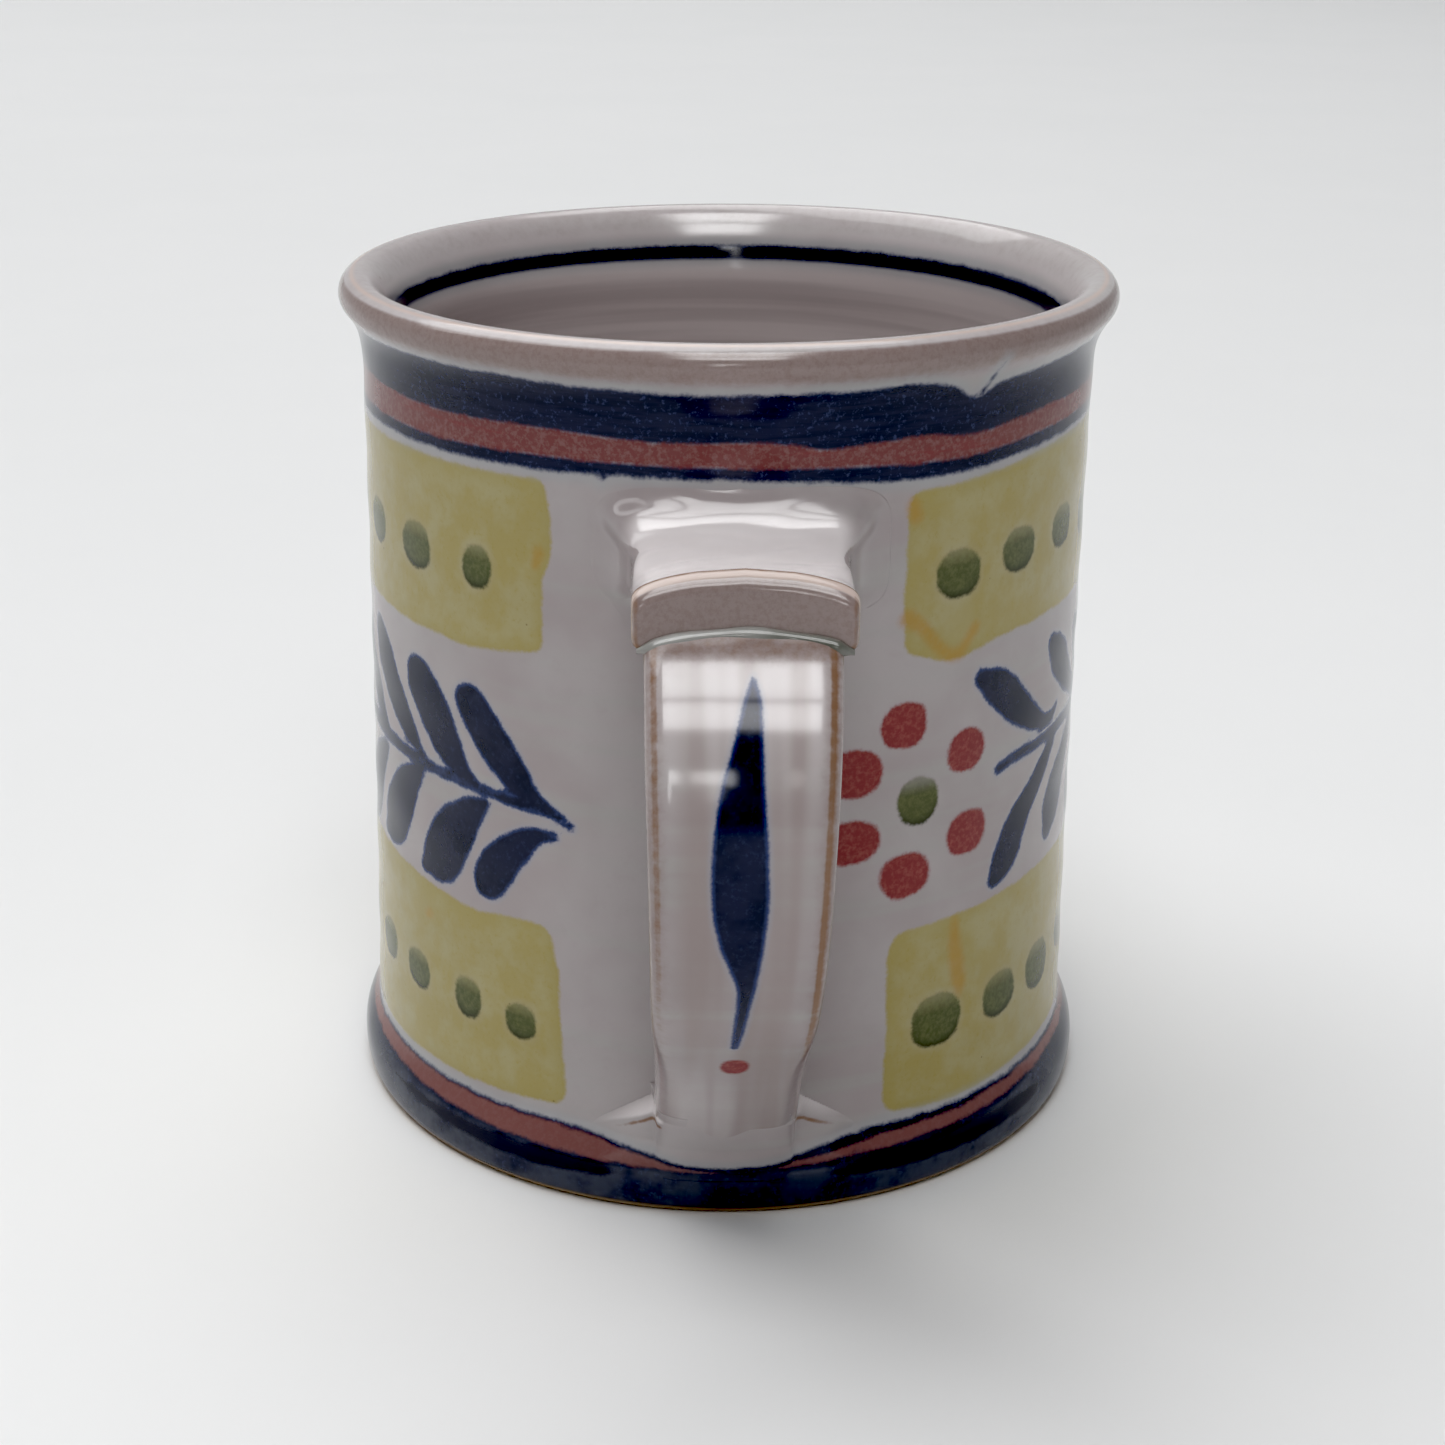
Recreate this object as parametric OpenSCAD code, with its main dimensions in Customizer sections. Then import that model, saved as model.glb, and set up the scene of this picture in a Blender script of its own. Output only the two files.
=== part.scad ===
// Hand-thrown stoneware mug with a strap handle and a thumb rest.
// The foot stands on z = 0, the mug's axis is Z and the handle points along -Y.
// Lengths are in millimetres. Outlines are pairs of [distance from the axis, height].

/* [Body] */
// Height from the table to the top of the rim
body_height = 95.6; // [86:0.2:110]
// Outside radius of the wall just above the foot
wall_radius_low = 41.6; // [38:0.1:45]
// Outside radius of the wall just below the rim's flare
wall_radius_high = 40.8; // [38:0.1:45]
// How far the wall draws in at its waist
wall_waist = 0.25; // [0:0.05:1]
// Thickness of the thrown wall
wall_thickness = 3.8; // [3:0.1:5]
// Thickness of the floor
floor_thickness = 6.5; // [5:0.1:9]
// Radius of the curve between the floor and the wall
floor_curve = 9; // [5:0.5:12]

/* [Rim] */
// Outside radius of the rim
rim_radius = 43.2; // [41.5:0.1:46]
// Radius of the roll along the rim's edge
rim_roll = 2.1; // [1.6:0.1:2.4]
// Height of the flare under the rim's roll
flare_height = 9; // [7:0.5:12]

/* [Foot] */
// Radius of the flat face that the mug rests on
foot_flat_radius = 42.4; // [38:0.1:46]
// Outside radius of the flange round the foot
foot_radius = 43.5; // [42:0.1:48]
// Height at which the flange runs out into the wall
foot_height = 8.8; // [7:0.2:12]

/* [Handle strap] */
// Distance from the mug's axis to the outside of the strap
handle_reach = 71.5; // [66:0.5:80]
// Height of the middle of the strap where it leaves the wall
strap_root_height = 71.5; // [66:0.5:76]
// Height at which the strap stands furthest out
strap_belly_height = 52; // [46:0.5:56]
// Width of the strap at the thumb rest
strap_width_top = 20.2; // [15:0.1:24]
// Width of the strap where it lands on the foot
strap_width_low = 14.8; // [11:0.1:20]
// Thickness of the strap
strap_thickness = 6.4; // [5:0.1:8]
// Sideways lean of the strap from top to bottom
strap_lean = 0.6; // [0:0.1:2]

/* [Thumb rest] */
// Width of the thumb rest
rest_width = 21; // [18:0.1:26]
// Height of the thumb rest's brow
rest_height = 78.8; // [77:0.1:82]
// Distance from the mug's axis to the front of the thumb rest
rest_front = 62.2; // [58:0.1:66]
// How much higher the middle of the thumb rest is than its sides
rest_crown = 1.4; // [0:0.1:2.5]
// How far the middle of the front is set back from its sides
rest_hollow = 1.2; // [0:0.1:2.5]

/* [Luting clay] */
// Width of the clay blended over the upper joint, at the sides
upper_fillet = 4.6; // [2:0.1:6]
// Width of the clay blended over the top of the upper joint
upper_fillet_top = 2.4; // [1.5:0.1:3]
// Width of the clay blended under the upper joint
upper_fillet_below = 3; // [1.5:0.1:4]
// Width of the clay blended over the lower joint, at the sides
lower_fillet = 4.6; // [2:0.1:6]
// Width of the clay blended over the top of the lower joint
lower_fillet_top = 2.6; // [1.5:0.1:4]
// Width of the clay blended into the foot under the lower joint
lower_fillet_below = 1; // [0.6:0.1:2]
// Radius of the coil pressed into the seam under the thumb rest
seam_coil_radius = 1; // [0.7:0.1:1.4]

/* [Hidden] */

glaze_colour = [0.80, 0.76, 0.75];
strap_colour = [0.84, 0.80, 0.79];
rest_colour = [0.66, 0.59, 0.58];
luting_colour = [0.74, 0.66, 0.62];

round_steps = 240;        // steps round the thrown body
curve_steps = 8;          // straight pieces in each curve of an outline
strap_steps = 18;         // rings in each half of the strap
section_points = 24;      // points round the strap
section_squareness = 2.8; // 2 is an ellipse, and larger is squarer
rest_steps = 16;          // profiles across the thumb rest
rest_edge = 1.6;          // rounding at the two sides of the thumb rest
coil_steps = 40;          // sections round a luting coil
fillet_tuck = 1.2;        // how far a luting coil is drawn into its neighbours before it is cut back
upper_root_height = 73.4; // middle of the upper joint on the wall
upper_root_half = 5;      // half the height of the upper joint
lower_root_height = 9.6;  // middle of the lower joint on the wall
lower_root_half = 4;      // half the height of the lower joint
seam_height = 73;         // height of the seam at the middle of the strap
seam_drop = 1.6;          // how much lower the seam is at its two ends
seam_setback = 0.2;       // how far the seam sits behind the front of the thumb rest
root_depth = 2.2;         // how far a handle piece is drawn into the wall before it is cut back

// A point on a cubic curve through a and d that leaves towards b and arrives from c
function cubic(a, b, c, d, t) =
    a * pow(1 - t, 3) + b * 3 * pow(1 - t, 2) * t + c * 3 * (1 - t) * t * t + d * pow(t, 3);

// The direction of that curve
function cubic_direction(a, b, c, d, t) =
    (b - a) * pow(1 - t, 2) + (c - b) * 2 * (1 - t) * t + (d - c) * t * t;

function cubic_points(a, b, c, d, steps = curve_steps) =
    [for (i = [1 : steps]) cubic(a, b, c, d, i / steps)];

function arc_points(centre, radius, from, to, steps = curve_steps) =
    [for (i = [0 : steps]) let (a = from + (to - from) * i / steps)
        centre + radius * [cos(a), sin(a)]];

function unit(v) = v / norm(v);
function mix(a, b, t) = a + (b - a) * t;

// Radius of the outside of the wall at a height
function wall_radius(z) =
    let (s = (z - foot_height) / (flare_start - foot_height))
    mix(wall_radius_low, wall_radius_high, s) - wall_waist * 4 * s * (1 - s);

// ---- Body outline ----

roll_centre = [rim_radius - rim_roll, body_height - rim_roll];
flare_start = body_height - rim_roll - flare_height;
flange_height = foot_height * 0.38;
inner_low = wall_radius_low - wall_thickness;
inner_high = wall_radius_high - wall_thickness;
lip_outer_angle = -38;
lip_inner_angle = 128;
lip_outer = roll_centre + rim_roll * [cos(lip_outer_angle), sin(lip_outer_angle)];
lip_inner = roll_centre + rim_roll * [cos(lip_inner_angle), sin(lip_inner_angle)];
lip_outer_pull = flare_height * 0.3 * [-sin(lip_outer_angle), cos(lip_outer_angle)];
lip_inner_pull = flare_height * 0.2 * [-sin(lip_inner_angle), cos(lip_inner_angle)];

outer_outline = concat(
    [[0, 0], [foot_flat_radius, 0]],
    cubic_points(
        [foot_flat_radius, 0],
        [foot_radius - 0.2, 0.3],
        [foot_radius, flange_height * 0.5],
        [foot_radius, flange_height]),
    cubic_points(
        [foot_radius, flange_height],
        [foot_radius, flange_height * 1.8],
        [wall_radius_low + 0.5, foot_height * 0.82],
        [wall_radius_low, foot_height]),
    [for (i = [1 : curve_steps])
        let (z = mix(foot_height, flare_start, i / curve_steps))
        [wall_radius(z), z]],
    cubic_points(
        [wall_radius_high, flare_start],
        [wall_radius_high, flare_start + flare_height * 0.45],
        lip_outer - lip_outer_pull,
        lip_outer));

inner_outline = concat(
    arc_points(roll_centre, rim_roll, lip_outer_angle, lip_inner_angle, 2 * curve_steps),
    cubic_points(
        lip_inner,
        lip_inner + lip_inner_pull,
        [inner_high, flare_start + flare_height * 0.7],
        [inner_high, flare_start + flare_height * 0.35]),
    arc_points(
        [inner_low - floor_curve, floor_thickness + floor_curve], floor_curve, 0, -90),
    [[0, floor_thickness]]);

module body_outside() {
    rotate_extrude($fn = round_steps)
        polygon(concat(outer_outline, [[0, body_height - rim_roll]]));
}

module thrown_body() {
    color(glaze_colour)
        rotate_extrude($fn = round_steps)
            polygon(concat(outer_outline, inner_outline));
}

// ---- Strap ----

// The middle line of the strap is two cubic curves that meet at its furthest point.
strap_middle = handle_reach - strap_thickness / 2;
strap_top = [wall_radius_high - root_depth, strap_root_height];
strap_belly = [strap_middle, strap_belly_height];
strap_end = [wall_radius_low - 2.8, 6.5];
upper_curve = [
    strap_top,
    strap_top + [17, 4.5],
    strap_belly + [-0.2, 18],
    strap_belly
];
lower_curve = [
    strap_belly,
    strap_belly - [0, 14],
    strap_end + [14, 21.6],
    strap_end
];

function strap_point(t) = t < 1
    ? cubic(upper_curve[0], upper_curve[1], upper_curve[2], upper_curve[3], t)
    : cubic(lower_curve[0], lower_curve[1], lower_curve[2], lower_curve[3], t - 1);

function strap_direction(t) = unit(t < 1
    ? cubic_direction(upper_curve[0], upper_curve[1], upper_curve[2], upper_curve[3], t)
    : cubic_direction(lower_curve[0], lower_curve[1], lower_curve[2], lower_curve[3], t - 1));

function strap_half_width(t) =
    mix(strap_width_top, strap_width_low, pow(t / 2, 0.8)) / 2;

// A rounded section in [across, out] coordinates
function section_point(half_width, half_thickness, angle) = [
    half_width * sign(cos(angle)) * pow(abs(cos(angle)), 2 / section_squareness),
    half_thickness * sign(sin(angle)) * pow(abs(sin(angle)), 2 / section_squareness)
];

function strap_ring(t) =
    let (
        middle = strap_point(t),
        along = strap_direction(t),
        out = [-along[1], along[0]],
        lean = strap_lean * (0.5 - t / 2)
    )
    [for (i = [0 : section_points - 1])
        let (
            q = section_point(strap_half_width(t), strap_thickness / 2, -360 * i / section_points),
            p = middle + out * q[1]
        )
        [q[0] + lean, -p[0], p[1]]];

// A closed solid through a list of rings that all have the same number of points.
// A loop joins its last ring to its first, and an open row gets two flat ends.
module skin(rings, loop = false) {
    n = len(rings[0]);
    m = len(rings);
    spans = loop ? m : m - 1;
    sides = [for (i = [0 : spans - 1], j = [0 : n - 1])
        let (
            a = i * n,
            b = ((i + 1) % m) * n,
            k = (j + 1) % n
        )
        each [[a + j, a + k, b + k], [a + j, b + k, b + j]]];
    ends = loop ? [] : [
        [for (j = [n - 1 : -1 : 0]) j],
        [for (j = [0 : n - 1]) (m - 1) * n + j]
    ];
    polyhedron([for (r = rings) each r], concat(sides, ends));
}

module strap_blank() {
    skin([for (i = [0 : 2 * strap_steps]) strap_ring(i / strap_steps)]);
}

module handle_strap() {
    color(strap_colour)
        difference() {
            strap_blank();
            body_outside();
        }
}

// ---- Thumb rest ----

// The side profile at one place across the thumb rest; side runs from -1 to 1.
function rest_profile(side) =
    let (
        edge = max(0, (abs(side) - 0.85) / 0.15),
        inset = rest_edge * (1 - sqrt(1 - min(1, edge * edge))),
        top = rest_height - rest_crown * side * side - inset,
        front = rest_front - rest_hollow * (1 - side * side) - inset,
        back = wall_radius_high - root_depth
    )
    concat(
        [[back, strap_root_height], [back, top - 0.9]],
        cubic_points([back, top - 0.9], [back + 8, top - 1.1], [front - 8, top - 0.6], [front - 2.4, top]),
        cubic_points([front - 2.4, top], [front - 1, top + 0.2], [front, top - 0.8], [front, top - 2.2], 5),
        [[front - 0.5, 73.4], [front - 3, 70.4]]);

module rest_blank() {
    skin([for (i = [0 : rest_steps])
        let (side = cos(180 * i / rest_steps))
        [for (p = rest_profile(side)) [side * rest_width / 2 + strap_lean / 2, -p[0], p[1]]]]);
}

module thumb_rest() {
    color(rest_colour)
        difference() {
            rest_blank();
            strap_blank();
            body_outside();
        }
}

// ---- Luting clay ----

// Section of the clay blended round a joint, as [spread over the wall, height off the wall].
function fillet_section(spread) = concat(
    [[-fillet_tuck, -fillet_tuck], [spread, -fillet_tuck]],
    [for (a = [7 : 15 : 82]) spread * [1 - sin(a), 1 - cos(a)]],
    [[-fillet_tuck, spread * 0.9]]);

// A closed ring of clay on the wall round a handle root of the given half sizes.
module luting_ring(height, half_width, half_height, fillet_side, fillet_top, fillet_below) {
    skin([for (i = [0 : coil_steps - 1])
        let (
            a = 360 * i / coil_steps,
            rim = section_point(half_width, half_height, a),
            away = unit([cos(a) / half_width, sin(a) / half_height]),
            fillet = sin(a) > 0
                ? mix(fillet_side, fillet_top, pow(sin(a), 2))
                : mix(fillet_side, fillet_below, pow(sin(a), 2))
        )
        [for (q = fillet_section(fillet))
            let (
                x = rim[0] + away[0] * q[0],
                z = height + rim[1] + away[1] * q[0]
            )
            [x, -sqrt(pow(wall_radius(z), 2) - x * x) - q[1], z]]],
        loop = true);
}

module upper_luting_coil() {
    color(luting_colour)
        difference() {
            luting_ring(
                upper_root_height, rest_width / 2 - 0.4, upper_root_half,
                upper_fillet, upper_fillet_top, upper_fillet_below);
            rest_blank();
            strap_blank();
            body_outside();
        }
}

module lower_luting_coil() {
    color(luting_colour)
        difference() {
            luting_ring(
                lower_root_height, strap_width_low / 2 - 0.2, lower_root_half,
                lower_fillet, lower_fillet_top, lower_fillet_below);
            strap_blank();
            body_outside();
        }
}

// The seam follows the front of the thumb rest where it meets the strap.
module seam_blank() {
    skin([for (i = [0 : rest_steps])
        let (
            side = -0.94 * cos(180 * i / rest_steps),
            x = side * rest_width / 2 + strap_lean / 2,
            out = rest_front - seam_setback - rest_hollow * (1 - side * side),
            z = seam_height - seam_drop * side * side
        )
        [for (j = [0 : 11])
            [
                x,
                -out - seam_coil_radius * cos(30 * j),
                z + seam_coil_radius * sin(30 * j)
            ]]]);
}

module seam_luting_coil() {
    color(luting_colour)
        difference() {
            seam_blank();
            rest_blank();
            strap_blank();
        }
}

thrown_body();
handle_strap();
thumb_rest();
upper_luting_coil();
seam_luting_coil();
lower_luting_coil();
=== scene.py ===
"""A hand-thrown stoneware mug with a strap handle, dressed in milky glaze and brushed folk painting.

Shapes are worked out in millimetres in the CAD frame: the foot stands on z = 0, the mug's axis is Z and
the handle points along -Y. Places on the wall are (s, z): s is the distance round the wall from the
handle's middle, positive towards +X, measured on a circle of PAINT_RADIUS, and z is the height.
"""

import math

import bpy
import numpy as np
from mathutils import Matrix, Vector


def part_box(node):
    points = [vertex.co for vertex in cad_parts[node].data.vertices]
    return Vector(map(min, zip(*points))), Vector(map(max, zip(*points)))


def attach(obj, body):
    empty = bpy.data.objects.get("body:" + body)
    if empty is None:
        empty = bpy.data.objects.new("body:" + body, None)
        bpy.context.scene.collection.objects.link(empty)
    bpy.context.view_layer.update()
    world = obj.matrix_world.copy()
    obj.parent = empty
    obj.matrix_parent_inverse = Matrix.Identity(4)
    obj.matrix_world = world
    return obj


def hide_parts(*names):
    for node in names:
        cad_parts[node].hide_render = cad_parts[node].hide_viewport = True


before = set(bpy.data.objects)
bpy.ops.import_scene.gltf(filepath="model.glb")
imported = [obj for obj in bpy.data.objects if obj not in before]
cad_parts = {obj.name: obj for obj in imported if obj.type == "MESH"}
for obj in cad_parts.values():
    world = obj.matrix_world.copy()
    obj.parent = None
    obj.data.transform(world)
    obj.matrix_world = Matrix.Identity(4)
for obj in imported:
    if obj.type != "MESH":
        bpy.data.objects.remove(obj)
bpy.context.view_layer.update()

MM = 0.001

# ---- Sizes from the frame, in millimetres ----

body_low, body_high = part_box("thrown_body")
strap_low, strap_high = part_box("handle_strap")
rest_low, rest_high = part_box("thumb_rest")

BODY_HEIGHT = body_high.z / MM
FOOT_RADIUS = (body_high.x - body_low.x) / 2 / MM
HANDLE_REACH = -strap_low.y / MM
STRAP_WIDTH_TOP = (strap_high.x - strap_low.x) / MM + 0.3
REST_HEIGHT = rest_high.z / MM
REST_FRONT = -rest_low.y / MM
REST_WIDTH = (rest_high.x - rest_low.x) / MM

# ---- Sizes that the frame's boxes don't give ----

FOOT_FLAT_RADIUS = FOOT_RADIUS - 1.1
FOOT_HEIGHT = 8.8
FLANGE_HEIGHT = FOOT_HEIGHT * 0.38
WALL_RADIUS_LOW = FOOT_RADIUS - 1.9
WALL_RADIUS_HIGH = FOOT_RADIUS - 2.7
WALL_WAIST = 0.25
WALL_THICKNESS = 3.8
FLOOR_THICKNESS = 6.5
FLOOR_CURVE = 9.0
RIM_RADIUS = FOOT_RADIUS - 0.3
RIM_ROLL = 2.1
RIM_TILT = 0.4
FLARE_HEIGHT = 9.0
FLARE_START = BODY_HEIGHT - RIM_ROLL - FLARE_HEIGHT
PAINT_RADIUS = 41.0

STRAP_WIDTH_LOW = 14.8
STRAP_THICKNESS = 6.4
STRAP_LEAN = 0.6
STRAP_FRONT_SQUARENESS = 7.0
STRAP_BACK_SQUARENESS = 3.2
STRAP_END_SQUARENESS = 2.6
REST_CROWN = 1.4
REST_HOLLOW = 1.2


# ---- Small helpers for curves ----

def cubic(a, b, c, d, steps):
    """Points on a cubic curve from a to d that leaves towards b and arrives from c."""
    t = np.linspace(0, 1, steps)[:, None]
    a, b, c, d = (np.array(p, float) for p in (a, b, c, d))
    return a * (1 - t) ** 3 + 3 * b * (1 - t) ** 2 * t + 3 * c * (1 - t) * t ** 2 + d * t ** 3


def arc(centre, radius, start, end, steps):
    """Points on an arc, with its angles in degrees."""
    angle = np.radians(np.linspace(start, end, steps))
    return np.array(centre) + radius * np.stack([np.cos(angle), np.sin(angle)], 1)


def run_length(points):
    """Distance along a line to each of its points."""
    return np.concatenate([[0], np.cumsum(np.linalg.norm(np.diff(points, axis=0), axis=1))])


def even_points(data, count):
    """Rows of data at count even distances along the line that its first two columns give."""
    length = run_length(data[:, :2])
    even = np.linspace(0, length[-1], count)
    return np.stack([np.interp(even, length, column) for column in data.T], 1)


def resample(points, spacing):
    """The same line with its points an even distance apart, close to spacing."""
    return even_points(points, max(2, int(round(run_length(points)[-1] / spacing)) + 1))


def join_lines(*lines):
    """Lines end to end, without repeating the point where two meet."""
    return np.concatenate([lines[0]] + [line[1:] for line in lines[1:]])


def smooth_step(value, start, end):
    """0 at start and 1 at end, with a soft turn at both; start may be the larger."""
    t = np.clip((np.asarray(value, float) - start) / (end - start), 0, 1)
    return t * t * (3 - 2 * t)


def wall_radius(z):
    """Radius of the outside of the wall, between the foot and the flare."""
    s = (z - FOOT_HEIGHT) / (FLARE_START - FOOT_HEIGHT)
    return WALL_RADIUS_LOW + (WALL_RADIUS_HIGH - WALL_RADIUS_LOW) * s - WALL_WAIST * 4 * s * (1 - s)


def flange_line(steps):
    """The hollow outline from the widest part of the foot up to the wall."""
    return cubic((FOOT_RADIUS, FLANGE_HEIGHT), (FOOT_RADIUS, FLANGE_HEIGHT * 1.8),
                 (WALL_RADIUS_LOW + 0.5, FOOT_HEIGHT * 0.82), (WALL_RADIUS_LOW, FOOT_HEIGHT), steps)


def outer_radius(z):
    """Outside radius of the body at a height, with the foot's flange below the wall."""
    flange = flange_line(24)
    return np.where(z > FOOT_HEIGHT, wall_radius(z), np.interp(z, flange[:, 1], flange[:, 0]))


# ---- Brushwork on the wall: signed distances in millimetres, negative inside the paint ----

ROUND = 2 * math.pi * PAINT_RADIUS
FAR = 20.0


def around(s, centre):
    """Distance along the wall from centre, the short way round."""
    return (s - centre + ROUND / 2) % ROUND - ROUND / 2


def wall_place(points):
    """(s, z) of points given as x, y, z."""
    return PAINT_RADIUS * np.arctan2(points[:, 0], -points[:, 1]), points[:, 2]


def stroke(s, z, path, wrap=True):
    """A brush stroke through (s, z, half width) stops, joined by a smooth line."""
    stops = np.array(path, float)
    padded = np.concatenate([[2 * stops[0] - stops[1]], stops, [2 * stops[-1] - stops[-2]]])
    line = []
    for a, b, c, d in zip(padded, padded[1:], padded[2:], padded[3:]):
        for t in np.linspace(0, 1, 6)[:-1]:
            line.append(0.5 * (2 * b + (c - a) * t + (2 * a - 5 * b + 4 * c - d) * t ** 2
                               + (3 * b - a - 3 * c + d) * t ** 3))
    line = np.array(line + [stops[-1]])
    line[:, 2] = np.maximum(line[:, 2], 0.05)
    middle = stops[:, 0].mean()
    ds = around(s, middle) if wrap else s - middle
    reach = np.abs(stops[:, :2] - [middle, stops[:, 1].mean()]).max() + 6
    near = (np.abs(ds) < reach) & (np.abs(z - stops[:, 1].mean()) < reach)
    result = np.full(len(s), FAR)
    u, v = ds[near], z[near]
    best = np.full(len(u), FAR)
    for (s0, z0, r0), (s1, z1, r1) in zip(line, line[1:]):
        a = np.array([s0 - middle, z0])
        d = np.array([s1 - s0, z1 - z0])
        t = np.clip(((u - a[0]) * d[0] + (v - a[1]) * d[1]) / max(d @ d, 1e-9), 0, 1)
        gap = np.hypot(u - a[0] - t * d[0], v - a[1] - t * d[1]) - (r0 + (r1 - r0) * t)
        best = np.minimum(best, gap)
    result[near] = best
    return result


def daub(s, z, spot, wrap=True):
    """A round daub (s, z, half width, half height); also how far down it each point lies, -1 to 1."""
    centre, height, half_width, half_height = spot
    du = (around(s, centre) if wrap else s - centre) / half_width
    dv = (z - height) / half_height
    size = (np.abs(du) ** 2.3 + np.abs(dv) ** 2.3) ** (1 / 2.3)
    return np.minimum((size - 1) * min(half_width, half_height), FAR), -dv


def edge_line(s, stops):
    """Height of a painted edge that runs all the way round, through (s, z) stops."""
    stops = np.array(sorted(stops), float)
    wide = np.concatenate([stops - [ROUND, 0], stops, stops + [ROUND, 0]])
    slope = np.gradient(wide[:, 1], wide[:, 0])
    place = (s + ROUND / 2) % ROUND - ROUND / 2
    i = np.clip(np.searchsorted(wide[:, 0], place) - 1, 0, len(wide) - 2)
    (s0, z0), (s1, z1) = wide[i].T, wide[i + 1].T
    w = s1 - s0
    t = (place - s0) / w
    return ((2 * t ** 3 - 3 * t ** 2 + 1) * z0 + (t ** 3 - 2 * t ** 2 + t) * w * slope[i]
            + (3 * t ** 2 - 2 * t ** 3) * z1 + (t ** 3 - t ** 2) * w * slope[i + 1])


# The sprig lies left of the handle with its tip towards it. Its leaf pairs repeat along the stem.
LEAF_SPACING = 10.0
TIP_LEAF = [(-31.2, 55.1, 1.5), (-30.0, 54.3, 2.35), (-27.4, 51.3, 2.65), (-25.0, 48.8, 2.3),
            (-22.9, 46.7, 1.6), (-20.9, 45.4, 0.95), (-18.9, 44.4, 0.7), (-17.1, 43.4, 0.5)]
UPPER_LEAF = [(-40.5, 55.6, 1.7), (-38.9, 54.4, 2.9), (-36.4, 51.7, 3.15), (-34.3, 49.1, 2.5),
              (-32.0, 46.9, 1.4), (-29.5, 45.6, 0.6)]
THIRD_LEAF = [(-51.3, 57.1, 1.7), (-49.0, 54.8, 2.6), (-46.0, 51.7, 2.6), (-42.8, 49.0, 1.9),
              (-40.2, 47.0, 1.0), (-38.2, 45.8, 0.6)]
HOOKED_LEAF = [(-19.4, 42.0, 0.75), (-21.2, 41.7, 1.0), (-23.4, 40.3, 1.75), (-26.0, 37.7, 2.4),
               (-27.7, 35.2, 2.45), (-28.6, 34.2, 1.6)]
LOWER_LEAF = [(-28.3, 43.7, 0.8), (-30.9, 41.7, 2.0), (-33.4, 38.7, 3.2), (-35.8, 35.3, 3.2),
              (-37.6, 33.8, 1.7), (-38.9, 33.1, 1.0)]
STEM = [(-19.0, 44.5, 0.5), (-24.0, 44.95, 0.75), (-30.0, 45.35, 0.65), (-36.0, 45.35, 0.75),
        (-42.0, 45.4, 0.8), (-50.0, 45.6, 1.0), (-60.0, 45.9, 0.95), (-70.0, 45.7, 1.0),
        (-80.0, 45.9, 1.0), (-88.0, 46.2, 1.0), (-97.0, 45.8, 0.9), (-104.0, 46.0, 0.5)]

# The other sprig starts right of the flower with a plain stroke between two longer leaves.
STARTING_STROKES = [
    [(28.6, 58.2, 1.1), (31.6, 56.4, 2.15), (34.9, 53.7, 2.25), (38.3, 51.2, 1.65),
     (41.3, 49.7, 1.1), (43.7, 49.4, 0.8), (45.4, 50.5, 0.35)],
    [(32.3, 46.8, 0.75), (35.5, 47.4, 0.8), (40.0, 47.4, 0.75), (46.0, 47.5, 0.85),
     (54.0, 47.7, 0.85), (62.0, 47.4, 0.9), (72.0, 47.0, 0.95), (84.0, 46.4, 1.0),
     (98.0, 46.0, 0.9), (112.0, 46.2, 0.7)],
    [(32.3, 33.8, 1.15), (34.2, 35.9, 2.45), (36.6, 39.5, 2.3), (39.9, 42.5, 1.7),
     (42.4, 44.7, 1.3), (44.6, 46.4, 1.0)],
    [(42.9, 58.3, 1.3), (45.5, 56.1, 2.35), (48.6, 53.2, 2.1), (51.5, 51.0, 1.4), (55.5, 48.4, 0.6)],
    [(44.4, 35.9, 1.6), (46.3, 39.2, 3.1), (49.6, 42.9, 2.1), (52.5, 45.6, 1.1), (54.6, 47.2, 0.6)],
]

# The flower: six red daubs round a green one. It repeats opposite the first.
FLOWER_CENTRE = (20.6, 46.0, 2.6, 2.75)
PETALS = [(18.5, 54.8, 2.8, 2.6), (26.9, 50.4, 2.7, 2.5), (27.5, 40.8, 2.9, 2.6),
          (19.2, 37.7, 3.1, 2.6), (12.6, 42.5, 3.5, 2.5), (13.0, 50.2, 3.1, 2.7)]
FLOWER_REPEAT = 115.0

# Each panel runs from the right of the handle round the back to its left; its sides are (s, z) stops.
UPPER_DOTS = [(-28.9, 70.0, 2.1, 2.45), (-39.3, 70.0, 2.9, 2.6), (-49.9, 70.0, 2.7, 2.5),
              (24.7, 70.4, 3.05, 2.7), (34.0, 71.2, 2.95, 2.5), (43.8, 71.5, 2.8, 2.4)]
LOWER_DOTS = [(-23.6, 19.2, 2.1, 2.2), (-31.3, 19.7, 2.15, 2.5), (-40.8, 19.6, 2.6, 2.4),
              (-49.5, 19.7, 2.7, 2.5), (24.1, 19.3, 3.5, 3.2), (34.3, 19.2, 3.1, 2.8),
              (43.3, 19.2, 3.2, 3.0)]
DOT_SPACING = 9.7
UPPER_PANEL = {
    "left": [(-19.9, 81), (-19.3, 77), (-19.2, 74), (-19.6, 72), (-20.3, 70), (-20.4, 66), (-20.5, 60)],
    "right": [(18.2, 82), (17.9, 77), (17.9, 72), (17.7, 69), (18.0, 66), (18.4, 60)],
    "top": [(-60, 80.5), (-35, 80.5), (-22, 80.7), (20, 80.0), (26, 80.3), (34, 81.1), (44, 81.8),
            (70, 81.2), (110, 80.8)],
    "bottom": [(-60, 61.4), (-35, 61.1), (-29, 61.1), (-22, 62.0), (19, 62.3), (24.5, 61.0),
               (30, 61.9), (44, 62.3), (80, 61.6), (110, 61.8)],
    "corner": 1.3,
}
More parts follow.
